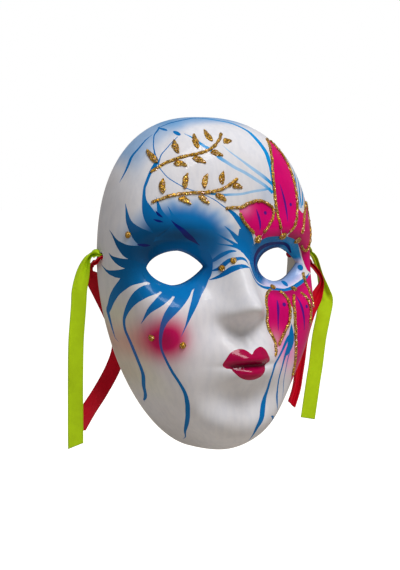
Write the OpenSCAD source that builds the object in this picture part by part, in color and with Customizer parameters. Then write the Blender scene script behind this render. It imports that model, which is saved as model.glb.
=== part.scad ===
// Full-face masquerade mask with raised glitter trim and four satin ties.
// +Z is up, the face looks along -Y and the back rim lies in the plane Y = 0.
// The origin is in the rim plane, on the centre line, level with the inner eye corners' tops.

/* [Mask] */
// Width of the mask across the temples
mask_w = 152; // [120:1:190]
// Height of the crown above the origin
crown_h = 93; // [75:1:115]
// Drop of the chin below the origin
chin_h = 127; // [105:1:155]
// Depth of the face from the rim plane, without the nose
face_d = 54; // [44:1:66]
// Height of the nose above the face
nose_h = 19.5; // [15:0.5:24]
// Thickness of the cast wall
wall = 4; // [3:0.1:5]

/* [Eyes] */
// Distance between the inner corners of the eye holes
eye_gap = 39.2; // [35:0.5:44]
// Width of one eye hole
eye_w = 38.4; // [32:0.2:42]
// Height of the upper lid curve above the eye line
lid_up = 10.5; // [8:0.5:14]
// Depth of the lower lid curve below the eye line
lid_dn = 11.7; // [8:0.1:14]
// Drop of the eye line below the origin
eye_drop = 3.6; // [0:0.2:8]

/* [Ties] */
// Diameter of each tie hole
tie_hole_d = 5; // [4:0.1:7]
// Distance of the tie holes from the back rim
tie_inset = 6.5; // [5.5:0.5:9]
// Height of the tie holes above the origin
tie_z = 3; // [0:0.5:6]
// Width of the satin ribbon
ribbon_w = 10; // [8:0.5:14]
// Thickness of the satin ribbon
ribbon_t = 0.6; // [0.4:0.05:0.8]
// Diameter of the knot inside the mask
knot_d = 6.2; // [6:0.1:8]

/* [Glitter trim] */
// Width of a raised glitter line
bead_w = 2.4; // [1.6:0.1:3.2]
// Height of a raised glitter line
bead_h = 1.1; // [0.7:0.1:1.6]
// Diameter of a single glitter dot
dot_d = 4.4; // [3.4:0.1:5.6]

/* [Hidden] */

$fn = 32;

// The face is drawn once on a standard pattern and stretched to the driving sizes.
pat_w = 76;
pat_up = 93;
pat_dn = 127;
pat_d = 54;
kx = mask_w / 2 / pat_w;
kd = face_d / pat_d;
kn = nose_h / 19.5;
function kz(v) = v > 0 ? crown_h / pat_up : chin_h / pat_dn;

// Eye centre on the pattern
eye_x = (eye_gap + eye_w) / 2;
eye_u = eye_x / kx;
eye_v = -eye_drop / kz(-1);

// Shell mesh: rings from the centre to the rim, spokes round it
rings = 38;
spokes = 72;

function smooth(a, b, t) = let (s = min(1, max(0, (t - a) / (b - a)))) s * s * (3 - 2 * s);
function bump(u, v, cu, cv, ru, rv, n = 2) = exp(-(pow(abs((u - cu) / ru), n) + pow(abs((v - cv) / rv), n)));
function pair(u, v, cu, cv, ru, rv, n = 2) = bump(u, v, cu, cv, ru, rv, n) + bump(u, v, -cu, cv, ru, rv, n);

// 0 at the centre, 1 on the rim's outline: full at the crown, tapering to the chin
function reach(u, v) =
    let (n = v > 0 ? 2.4 : 1.75, h = v > 0 ? pat_up : pat_dn)
    pow(pow(abs(u / pat_w), n) + pow(abs(v / h), n), 1 / n);

// How squarely the side wall meets the face: soft at the crown, square at the chin
function squareness(v) = 3.9 + 9 * smooth(30, -115, v) + 9 * smooth(-75, -122, v);
function dome(u, v) =
    (pat_d + 2 * smooth(-20, -60, v)) * pow(1 - pow(min(1, reach(u, v)), squareness(v)), 1 / 2.3);

// Features die out towards the rim, which stays flat
function inland(u, v) = pow(1 - pow(min(1, reach(u, v)), 8), 0.7);

function nose(u, v, k, half) =
    let (rise = smooth(20, -36, v), under = smooth(-47, -27, v), root = smooth(30, 6, v))
    (k * 19.5 * rise - 2.5) * exp(-pow(abs(u) / (half + 4.5 * rise), 2.2)) * root * under
    + (6.5 * bump(u, v, 0, -31.5, 10.5, 10) + 5 * pair(u, v, 12, -35, 6.5, 6.5)) * k * under;

function sockets(u, v) =
    -21 * pair(u, v, eye_u + 2.8, eye_v - 1, eye_w / 2 + 4.5, (lid_up + lid_dn) / 2 + 4.2, 2.4);

function soft_form(u, v) =
    sockets(u, v)
    + 2 * pair(u, v, 33, 20, 24, 9)
    + 4 * pair(u, v, 50, -38, 20, 24)
    + 12 * bump(u, v, 0, -66, 28, 18, 2.6)
    + 9 * bump(u, v, 0, -107, 32, 15, 2.2);

function lips(u, v) =
    3.6 * pair(u, v, 5.5, -61.9, 7, 4)
    + 5 * bump(u, v, 0, -72, 11, 4.6, 2.2)
    - 3 * bump(u, v, 0, -66.5, 15, 1.7)
    - bump(u, v, 0, -52, 3, 5);

// Depth of the outer skin, and of the softer form that the inner skin follows
function skin(u, v) = kd * (dome(u, v) + (soft_form(u, v) + nose(u, v, kn, 7.5) + lips(u, v)) * inland(u, v));
function core(u, v) = kd * (dome(u, v) + (soft_form(u, v) + nose(u, v, 0.7 * kn, 10)) * inland(u, v));

function outer(u, v) = [u * kx, -skin(u, v), v * kz(v)];
function inner_base(u, v) = [u * kx, -core(u, v), v * kz(v)];

function unit(a) = a / norm(a);
function outer_normal(u, v) =
    let (e = 0.05)
    unit(cross(outer(u + e, v) - outer(u - e, v), outer(u, v + e) - outer(u, v - e)));
function inner_normal(u, v) =
    let (e = 0.05)
    unit(cross(inner_base(u + e, v) - inner_base(u - e, v), inner_base(u, v + e) - inner_base(u, v - e)));

// Grid point number r of the spoke at angle a, on the pattern
function grid_uv(r, a) =
    let (d = [cos(a), sin(a)], s = sin(90 * r / rings) / reach(d[0], d[1]))
    d * s;

function rim_out(a) =
    let (p = grid_uv(rings, a), q = grid_uv(rings, a + 0.5), o = grid_uv(rings, a - 0.5))
    unit([(q[1] - o[1]) * kz(p[1]), 0, -(q[0] - o[0]) * kx]);

function outer_point(r, a) =
    let (p = grid_uv(r, a))
    r == rings ? [p[0] * kx, 0, p[1] * kz(p[1])] : outer(p[0], p[1]);
function inner_point(r, a) =
    let (p = grid_uv(r, a))
    r == rings
        ? [p[0] * kx, 0, p[1] * kz(p[1])] - wall * rim_out(a)
        : inner_base(p[0], p[1]) - wall * inner_normal(p[0], p[1]);

// Closed solid between the outer and inner skins
module shell_body() {
    step = 360 / spokes;
    outer_pts = [for (r = [1:rings], j = [0:spokes - 1]) outer_point(r, j * step)];
    inner_pts = [for (r = [1:rings], j = [0:spokes - 1]) inner_point(r, j * step)];
    n = rings * spokes;
    points = concat([outer(0, 0)], outer_pts, [inner_base(0, 0) - wall * inner_normal(0, 0)], inner_pts);
    function at(r, j, side) = side * (n + 1) + 1 + (r - 1) * spokes + (j % spokes);
    faces = concat(
        [for (j = [0:spokes - 1]) [0, at(1, j, 0), at(1, j + 1, 0)]],
        [for (r = [1:rings - 1], j = [0:spokes - 1])
            each [[at(r, j, 0), at(r + 1, j, 0), at(r + 1, j + 1, 0)],
                  [at(r, j, 0), at(r + 1, j + 1, 0), at(r, j + 1, 0)]]],
        [for (j = [0:spokes - 1]) [n + 1, at(1, j + 1, 1), at(1, j, 1)]],
        [for (r = [1:rings - 1], j = [0:spokes - 1])
            each [[at(r, j, 1), at(r + 1, j + 1, 1), at(r + 1, j, 1)],
                  [at(r, j, 1), at(r, j + 1, 1), at(r + 1, j + 1, 1)]]],
        [for (j = [0:spokes - 1])
            each [[at(rings, j, 0), at(rings, j, 1), at(rings, j + 1, 1)],
                  [at(rings, j, 0), at(rings, j + 1, 1), at(rings, j + 1, 0)]]]);
    polyhedron(points, faces);
}

// Almond outline of an eye hole, the same formula above and below the eye line
function lid(t) = pow(max(0, 1 - t * t), 0.8);
function eye_outline() =
    let (steps = 20, ts = [for (i = [0:steps]) -cos(180 * i / steps)])
    concat([for (t = ts) [t * eye_w / 2, -lid_dn * lid(t)]],
           [for (i = [1:steps - 1]) let (t = -ts[i]) [t * eye_w / 2, lid_up * lid(t)]]);

module eye_cut(side) {
    translate([side * eye_x, 0, -eye_drop])
        rotate([90, 0, 0])
            linear_extrude(face_d + 30) polygon(eye_outline());
}

module tie_cut(side) {
    translate([side * (mask_w / 2 - wall / 2), -tie_inset, tie_z])
        rotate([0, 90, 0])
            cylinder(d = tie_hole_d, h = 3 * wall, center = true);
}

module mask_shell() {
    color("whitesmoke") difference() {
        shell_body();
        for (side = [-1, 1]) {
            eye_cut(side);
            tie_cut(side);
        }
    }
}

// ---- Raised glitter trim, laid on the outer skin ----

// Clearance under the trim, for the glue line
glue = 0.45;

function catmull(a, b, c, d, t) =
    0.5 * ((2 * b) + (c - a) * t + (2 * a - 5 * b + 4 * c - d) * t * t + (3 * b - a - 3 * c + d) * t * t * t);
function spline(p, n) =
    let (last = len(p) - 1)
    concat([for (i = [0:last - 1], j = [0:n - 1])
                catmull(p[max(i - 1, 0)], p[i], p[i + 1], p[min(i + 2, last)], j / n)],
           [p[last]]);

// Closed solid through a list of rings that all hold the same number of points
module loft(rings_list) {
    k = len(rings_list[0]);
    m = len(rings_list);
    points = [for (r = rings_list) each r];
    faces = concat(
        [[for (j = [k - 1:-1:0]) j]],
        [for (i = [0:m - 2], j = [0:k - 1])
            each [[i * k + j, i * k + (j + 1) % k, (i + 1) * k + (j + 1) % k],
                  [i * k + j, (i + 1) * k + (j + 1) % k, (i + 1) * k + j]]],
        [[for (j = [0:k - 1]) (m - 1) * k + j]]);
    polyhedron(points, faces);
}

// Rounded line of glitter glue along pattern points [u, v, width]
module bead(path, height = bead_h, fine = 3) {
    pts = spline(path, fine);
    last = len(pts) - 1;
    loft([for (i = [0:last])
        let (p = pts[i],
             c = outer(p[0], p[1]),
             n = outer_normal(p[0], p[1]),
             q = pts[min(i + 1, last)],
             o = pts[max(i - 1, 0)],
             s = unit(cross(n, outer(q[0], q[1]) - outer(o[0], o[1]))),
             k = i == 0 || i == last ? 0.45 : 1)
        [for (a = [0:36:180]) c + s * (k * p[2] / 2 * cos(a)) + n * (glue + k * height * sin(a))]]);
}

// The same width all along
function even(path, w = bead_w) = [for (p = path) [p[0], p[1], w]];

// Round drop of glitter glue
module drop(u, v, d, h) {
    c = outer(u, v);
    n = outer_normal(u, v);
    s = unit(cross(n, [0, 0, 1]));
    t = cross(s, n);
    loft([for (b = [0:24:72])
        [for (a = [0:30:330]) c + n * (glue + h * sin(b)) + (s * cos(a) + t * sin(a)) * (d / 2 * cos(b))]]);
}

// Leaf that grows from a point on a stem: base, direction, length
module leaf(u, v, turn, length) {
    dir = [cos(turn), sin(turn)];
    side = [-sin(turn), cos(turn)];
    bead([for (i = [0:4])
        let (t = i / 4, p = [u, v] + dir * (length * t) + side * (0.9 * sin(180 * t)))
        [p[0], p[1], 0.7 + 3.6 * sin(180 * pow(t, 0.8))]], fine = 2);
}

// Two leafy stems across the forehead
low_stem = [[-58, 38], [-47, 42.5], [-35, 44], [-23, 44.5], [-11, 47], [0, 53]];
high_stem = [[-55, 57], [-46, 63], [-35, 67], [-23, 69.5], [-12, 74], [-3, 82]];
// Leaves as [u, v, direction, length]
low_leaves = [
    [-51, 43.6, 80, 10], [-43, 40.6, -25, 9], [-38, 46.4, 72, 11], [-30, 41.8, -35, 9],
    [-25, 46.9, 70, 10], [-18, 42.8, -30, 9], [-12, 49.2, 78, 9], [-5, 47.6, -5, 8]
];
high_leaves = [
    [-50, 62.8, 95, 9], [-42, 62.4, -10, 8], [-37, 69, 82, 9], [-30, 65.8, -20, 9],
    [-24, 71.8, 80, 10], [-17, 69.6, -15, 9], [-12.5, 76.6, 100, 8], [-5, 75.6, 10, 7]
];

module forehead_sprig() {
    color("goldenrod") {
        bead(even(low_stem));
        bead(even(high_stem));
        for (l = concat(low_leaves, high_leaves))
            leaf(l[0], l[1], l[2], l[3]);
    }
}

module brow_petal_inner() {
    color("goldenrod") {
        bead(even([[-11, 34], [-5, 34.5], [1, 34.5], [7, 37], [14, 38.5], [21, 37], [25.5, 33], [25, 27.5],
                   [21, 22], [17.6, 17.6]]));
        bead(even([[0, 31.2], [2, 26.5], [6, 21.8], [10.6, 17.4]]));
    }
}

module brow_petal_middle() {
    color("goldenrod") {
        bead(even([[35, 79], [31.5, 70], [29, 60], [28, 50], [28, 40], [29, 29], [31.2, 19.4]]));
        bead(even([[38, 77.5], [43.5, 69], [47, 59], [48.5, 48], [48.5, 37], [46, 27], [42.5, 20.6], [39, 17.6]]));
    }
}

module brow_petal_outer() {
    color("goldenrod") {
        bead(even([[61, 37], [57, 31], [54, 24.5], [52, 16]]));
        bead(even([[64.5, 37], [68, 29], [69, 20], [66.5, 11], [62.5, 4], [57, 8]]));
    }
}

module cheek_petal_inner() {
    color("goldenrod") {
        bead(even([[26.8, -19.6], [22, -22.5], [18.8, -28], [18.4, -36], [20, -45], [22.6, -54], [21, -62]]));
        bead(even([[33.4, -20.8], [36.6, -25], [37.2, -32], [36, -40], [31.5, -48], [25.6, -55.2]]));
    }
}

module cheek_petal_outer() {
    color("goldenrod") {
        bead(even([[43, -23.4], [40.8, -28], [40.4, -35], [40.4, -44], [41, -54], [42, -66], [41.5, -77]]));
        bead(even([[49.4, -22.2], [53, -26.5], [55, -33], [54.6, -43]]));
    }
}

module rim_petal() {
    color("goldenrod")
        bead(even([[60, -10], [58.6, -17], [58.6, -25], [60.4, -33]]));
}

module petal_drops() {
    color("goldenrod") {
        drop(14, 13.6, 5.6, 1.5);
        drop(34.6, 15, 6, 1.5);
        drop(51, 11.6, 5.6, 1.5);
        drop(30, -18.4, 4.4, 1.3);
        drop(46, -20, 4.4, 1.3);
    }
}

module glitter_dots() {
    color("goldenrod")
        for (p = [[-69.5, 17.5], [-60.5, -47.5], [-44.5, -52], [-12, -4.5], [-5.5, 0.5]])
            drop(p[0], p[1], dot_d, dot_d / 3);
}

// ---- Ribbon ties: a lime and a red ribbon knotted inside each tie hole ----

// Clearance between necks, hole and knots
tie_gap = 0.5;
neck_d = (tie_hole_d - 3 * tie_gap) / 2;
neck_off = (neck_d + tie_gap) / 2;
knot_x = wall + tie_gap + knot_d / 2;
// Turn of the pair, which keeps the knots clear of the view through the eye holes
pair_turn = 50;
function beside(level, off) = [0, level * off * sin(pair_turn), level * off * cos(pair_turn)];

// Broad side of every ribbon faces forwards and to the mask's right
ribbon_face = unit([-0.515, -0.857, 0]);

// Routes are [out from the temple, back from the rim, up from the hole, width share]
left_lime_fold = [[0.8, -5.6, 0.9, 0.18], [1.8, -4.6, 1.6, 0.5], [2.6, -2, 1.6, 0.5], [3.3, -0.4, 1, 0.28]];
left_red_fold = [[0.8, -7.1, -0.9, 0.18], [2.4, -4.6, -3.8, 0.28], [2.7, -2.2, -4.4, 0.28],
                 [2.2, -0.5, -4.8, 0.28]];
right_lime_fold = [[0.8, -5.6, 0.9, 0.18], [2.5, -5.4, 1.6, 0.5], [6, -4.4, 1.2, 0.6], [11, -2.6, 0.2, 0.45],
                   [14.5, -0.6, -1.6, 0.28]];
right_red_fold = [[0.8, -7.1, -0.9, 0.18], [2.5, -5.4, -4.2, 0.28], [6, -4.6, -5.6, 0.36],
                  [11, -3, -7.5, 0.36], [14.5, -0.8, -9.5, 0.28]];

left_lime_fall = [[4, 0.4, 0.2, 0.28], [6, 1.6, -3, 0.5], [8.1, 2.6, -10.4, 0.85], [10.7, 3, -22, 1],
                  [11.5, 3, -33, 1], [13.4, 3, -56, 1], [13.9, 3, -79, 1], [14, 3, -102.5, 1],
                  [14, 3, -125.5, 1]];
left_red_fall = [[2.3, 0.4, -5.6, 0.28], [2.6, 2.2, -7.2, 0.36], [2, 4.8, -10, 0.6], [-2, 8, -15.2, 1],
                 [-8.8, 11, -25.5, 1], [-17, 13, -39, 1], [-23.4, 14, -52, 1], [-24.2, 14, -63.8, 1],
                 [-18.4, 13, -76.7, 1], [-8.3, 11, -90.4, 1], [1, 9, -101, 1],
                 [9, 8, -112, 1], [12, 7.5, -117, 1]];
right_lime_fall = [[15, -0.1, -2.1, 0.28], [20, 1.2, -6.7, 0.36], [25.5, 3, -18, 0.4], [30, 4, -30, 0.8],
                   [31.3, 4, -37, 1], [28.8, 4, -49, 1], [25.6, 4, -63, 1], [23, 4, -81, 1],
                   [20.7, 4, -93.3, 1], [16.4, 4, -118.5, 1]];
right_red_fall = [[15, -0.4, -10, 0.28], [20, -1, -15, 0.3], [24.2, -1, -22.5, 0.3], [20.7, 0, -33, 0.8],
                  [14.8, 1, -44.6, 0.9], [10.2, 1.5, -60.6, 0.8], [8.2, 1.5, -76.5, 0.7],
                  [7, 1.5, -86, 0.62], [5, 1.5, -97, 0.6], [0.5, 1.5, -109, 0.6]];

// Place of a route point on the left (-1) or right (1) side
function placed(side, p) = [side * (mask_w / 2 + p[0]), p[1], tie_z + p[2]];

// Flat strip along route points, with chamfered edges
module strip(side, route, thick, fine = 3) {
    pts = spline(route, fine);
    last = len(pts) - 1;
    loft([for (i = [0:last])
        let (p = pts[i],
             c = placed(side, p),
             t = unit(placed(side, pts[min(i + 1, last)]) - placed(side, pts[max(i - 1, 0)])),
             s = unit(cross(ribbon_face, t)),
             n = cross(s, t),
             w = p[3] * ribbon_w / 2,
             h = thick / 2)
        [for (q = [[1, 0.4], [0.9, 1], [-0.9, 1], [-1, 0.4], [-1, -0.4], [-0.9, -1], [0.9, -1], [1, -0.4]])
            c + s * (w * q[0]) + n * (h * q[1])]]);
}

// Knot inside the wall, neck through the hole, and the fold that lies over the rim
module knot(side, level, fold) {
    inner = [side * (mask_w / 2 - knot_x), -tie_inset, tie_z];
    translate(inner + beside(level, (knot_d + tie_gap) / 2))
        sphere(d = knot_d);
    translate(inner + beside(level, neck_off))
        rotate([0, side * 90, 0])
            cylinder(d = neck_d, h = knot_x + 1.4);
    strip(side, fold, ribbon_t, fine = 2);
}

module left_lime_knot() {
    color("yellowgreen") knot(-1, 1, left_lime_fold);
}

module left_red_knot() {
    color("crimson") knot(-1, -1, left_red_fold);
}

module right_lime_knot() {
    color("yellowgreen") knot(1, 1, right_lime_fold);
}

module right_red_knot() {
    color("crimson") knot(1, -1, right_red_fold);
}

module left_lime_tie() {
    color("yellowgreen") strip(-1, left_lime_fall, ribbon_t);
}

module left_red_tie() {
    color("crimson") strip(-1, left_red_fall, ribbon_t);
}

module right_lime_tie() {
    color("yellowgreen") strip(1, right_lime_fall, ribbon_t);
}

module right_red_tie() {
    color("crimson") strip(1, right_red_fall, ribbon_t);
}

mask_shell();
forehead_sprig();
brow_petal_inner();
brow_petal_middle();
brow_petal_outer();
cheek_petal_inner();
cheek_petal_outer();
rim_petal();
petal_drops();
glitter_dots();
left_lime_knot();
left_red_knot();
right_lime_knot();
right_red_knot();
left_lime_tie();
left_red_tie();
right_lime_tie();
right_red_tie();
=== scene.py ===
"""Full-face masquerade mask: glazed shell with painted ornament, glitter trim and satin ties."""

import math

import bpy
import numpy as np
from mathutils import Matrix, Vector, geometry, kdtree


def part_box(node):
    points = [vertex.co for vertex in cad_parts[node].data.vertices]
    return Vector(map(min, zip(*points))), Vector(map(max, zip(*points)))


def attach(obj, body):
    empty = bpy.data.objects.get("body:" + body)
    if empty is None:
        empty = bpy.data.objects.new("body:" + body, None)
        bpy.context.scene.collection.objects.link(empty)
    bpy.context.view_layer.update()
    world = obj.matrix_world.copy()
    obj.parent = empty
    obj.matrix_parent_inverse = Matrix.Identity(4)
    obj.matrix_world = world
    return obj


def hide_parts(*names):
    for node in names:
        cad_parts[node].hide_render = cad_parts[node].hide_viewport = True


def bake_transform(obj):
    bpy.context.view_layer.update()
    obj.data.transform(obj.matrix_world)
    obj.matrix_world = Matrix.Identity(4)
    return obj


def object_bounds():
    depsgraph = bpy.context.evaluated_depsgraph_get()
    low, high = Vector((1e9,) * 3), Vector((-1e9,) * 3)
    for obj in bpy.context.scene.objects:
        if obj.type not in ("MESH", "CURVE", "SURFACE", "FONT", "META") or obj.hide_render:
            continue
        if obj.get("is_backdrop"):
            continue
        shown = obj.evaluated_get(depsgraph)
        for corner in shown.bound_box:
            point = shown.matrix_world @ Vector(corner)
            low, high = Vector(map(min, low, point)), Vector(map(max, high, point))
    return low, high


bl_info = {
    "name": "Masquerade mask",
    "version": (1, 0, 0),
    "blender": (4, 5, 0),
    "location": "3D View > Sidebar > Mask",
    "description": "Builds a painted full-face mask with glitter trim and satin ties on its frame",
    "category": "Object",
}

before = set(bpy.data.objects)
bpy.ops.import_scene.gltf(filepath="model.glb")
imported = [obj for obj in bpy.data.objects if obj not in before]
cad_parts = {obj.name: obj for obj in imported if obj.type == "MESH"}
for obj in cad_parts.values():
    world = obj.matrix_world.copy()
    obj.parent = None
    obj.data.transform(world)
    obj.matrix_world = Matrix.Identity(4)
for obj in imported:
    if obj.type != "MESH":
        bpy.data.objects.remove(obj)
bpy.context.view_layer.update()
SHELL_LO, SHELL_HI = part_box("mask_shell")

MM = 0.001

# The pattern plane that the face is drawn on, before it is stretched to its sizes, in mm
PAT_W = 76.0
PAT_UP = 93.0
PAT_DOWN = 127.0
PAT_DEPTH = 54.0
PAT_NOSE = 19.5


def paint(red, green, blue):
    """Linear colour from the 0 to 255 values that a screen shows."""
    out = []
    for value in (red, green, blue):
        c = value / 255.0
        out.append(c / 12.92 if c <= 0.04045 else ((c + 0.055) / 1.055) ** 2.4)
    return tuple(out)


def length(label, default, low, high, about):
    return bpy.props.FloatProperty(
        name=label, description=about, default=default, min=low, max=high,
        subtype="DISTANCE", unit="LENGTH", precision=4)


def colour(label, rgb, about):
    return bpy.props.FloatVectorProperty(
        name=label, description=about, default=paint(*rgb), size=3, min=0.0, max=1.0, subtype="COLOR")


class ShellSizes(bpy.types.PropertyGroup):
    half_width: length("Half width", SHELL_HI.x, 0.05, 0.12, "From the centre line to a temple")
    crown: length("Crown height", SHELL_HI.z, 0.06, 0.14, "From the origin up to the crown")
    chin: length("Chin drop", -SHELL_LO.z, 0.08, 0.18, "From the origin down to the chin")
    depth: length("Face depth", 0.054, 0.03, 0.08, "From the rim plane to the face, without the nose")
    nose: length("Nose height", 0.0195, 0.01, 0.03, "How far the nose stands out of the face")
    wall: length("Wall", 0.004, 0.002, 0.006, "Thickness of the cast wall")
    eye_gap: length("Eye gap", 0.0392, 0.03, 0.05, "Distance between the inner eye corners")
    eye_width: length("Eye width", 0.0384, 0.03, 0.045, "Width of one eye hole")
    lid_up: length("Upper lid", 0.0105, 0.006, 0.016, "Height of an eye hole above the eye line")
    lid_down: length("Lower lid", 0.0117, 0.006, 0.016, "Depth of an eye hole below the eye line")
    eye_drop: length("Eye drop", 0.0036, 0.0, 0.01, "How far the eye line lies below the origin")
    lip_round: length("Eye edge", 0.0016, 0.0004, 0.003, "Rounding of the eye hole's outer edge")
    rim_round: length("Rim edge", 0.0008, 0.0002, 0.0015, "Rounding of the back rim")
    hole: length("Tie hole", 0.005, 0.003, 0.008, "Diameter of a tie hole")
    hole_inset: length("Tie hole inset", 0.0065, 0.004, 0.01, "Distance of the tie holes from the rim")
    hole_up: length("Tie hole height", 0.003, 0.0, 0.008, "Height of the tie holes above the origin")
    mesh_step: length("Mesh step", 0.00125, 0.0008, 0.004, "Spacing of the points of the outer skin")


class PaintColours(bpy.types.PropertyGroup):
    pearl: colour("Pearl white", (214, 213, 218), "Ground coat")
    raw: colour("Unpainted inside", (222, 218, 212), "Inside of the shell")
    blue: colour("Blue", (0, 108, 176), "Brush strokes and eye surround")
    navy: colour("Navy", (4, 22, 104), "Darkest blue")
    cyan: colour("Cyan", (10, 138, 204), "Lightest blue")
    magenta: colour("Magenta", (204, 0, 104), "Petals")
    lips: colour("Lip red", (164, 0, 64), "Lips")
    lavender: colour("Lavender", (214, 204, 232), "Pale lower lid of the right eye")
    blush: colour("Blush", (200, 6, 92), "Cheek")


class TrimSizes(bpy.types.PropertyGroup):
    line_width: length("Line width", 0.0021, 0.001, 0.004, "Width of a glitter line")
    line_height: length("Line height", 0.0012, 0.0005, 0.002, "Height of a glitter line")
    dot: length("Dot", 0.0044, 0.002, 0.006, "Diameter of a single glitter dot")
    gold: colour("Gold", (190, 138, 30), "Body of the glitter glue")
    # painted light: the brightest flakes carry a painted glint and the darkest a painted shade
    painted_glint: colour("Sparkle", (255, 226, 130), "Brightest flakes")
    dark: colour("Shaded flakes", (96, 56, 8), "Darkest flakes")


class RibbonSizes(bpy.types.PropertyGroup):
    width: length("Ribbon width", 0.010, 0.006, 0.016, "Width of a satin ribbon")
    thick: length("Ribbon thickness", 0.00035, 0.0002, 0.0008, "Thickness of the satin")
    knot: length("Knot", 0.0062, 0.005, 0.01, "Diameter of a knot inside the wall")
    lime: colour("Lime", (186, 222, 18), "Lime satin")
    red: colour("Red", (206, 0, 34), "Red satin")


class StageSettings(bpy.types.PropertyGroup):
    azimuth: bpy.props.FloatProperty(
        name="Azimuth", description="Camera's angle round the mask", default=math.radians(-31.0),
        subtype="ANGLE", unit="ROTATION")
    elevation: bpy.props.FloatProperty(
        name="Elevation", description="Camera's angle above the eye line", default=math.radians(4.0),
        subtype="ANGLE", unit="ROTATION")
    distance: length("Distance", 1.3, 0.5, 4.0, "From the camera to the mask's origin")
    view_height: length("View height", 0.3802, 0.2, 1.0, "Height of the view at the mask")
    floor_drop: length("Floor", 0.05, 0.0, 0.5, "How far the floor lies below the chin")
    key: bpy.props.FloatProperty(
        name="Key lamp", description="Power of the main lamp", default=22.0, min=0.0, unit="POWER")
    fill: bpy.props.FloatProperty(
        name="Fill lamp", description="Power of the fill lamp", default=2.0, min=0.0, unit="POWER")
    sky: bpy.props.FloatProperty(
        name="Sky", description="Strength of the even light from all round", default=0.22, min=0.0)


# ---------------------------------------------------------------- the face's form


def smooth(low, high, t):
    s = np.clip((t - low) / (high - low), 0.0, 1.0)
    return s * s * (3.0 - 2.0 * s)


def bump(u, v, cu, cv, ru, rv, n=2.0):
    return np.exp(-(np.abs((u - cu) / ru) ** n + np.abs((v - cv) / rv) ** n))


def pair(u, v, cu, cv, ru, rv, n=2.0):
    return bump(u, v, cu, cv, ru, rv, n) + bump(u, v, -cu, cv, ru, rv, n)


def reach(u, v):
    """0 at the centre and 1 on the rim's outline."""
    up = v > 0
    n = np.where(up, 2.4, 1.75)
    tall = np.where(up, PAT_UP, PAT_DOWN)
    return (np.abs(u / PAT_W) ** n + np.abs(v / tall) ** n) ** (1.0 / n)


def to_pattern(q):
    """From the flattened disc, on which the side wall is rolled out, to the pattern plane."""
    t = np.maximum(reach(q[..., 0], q[..., 1]), 1e-9)
    grow = np.sin(np.minimum(t, 1.0) * math.pi / 2) / t
    return q * grow[..., None]


def to_disc(p):
    r = np.maximum(reach(p[..., 0], p[..., 1]), 1e-9)
    t = np.arcsin(np.minimum(r, 1.0)) / (math.pi / 2)
    return p * (t / r)[..., None]


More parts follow.
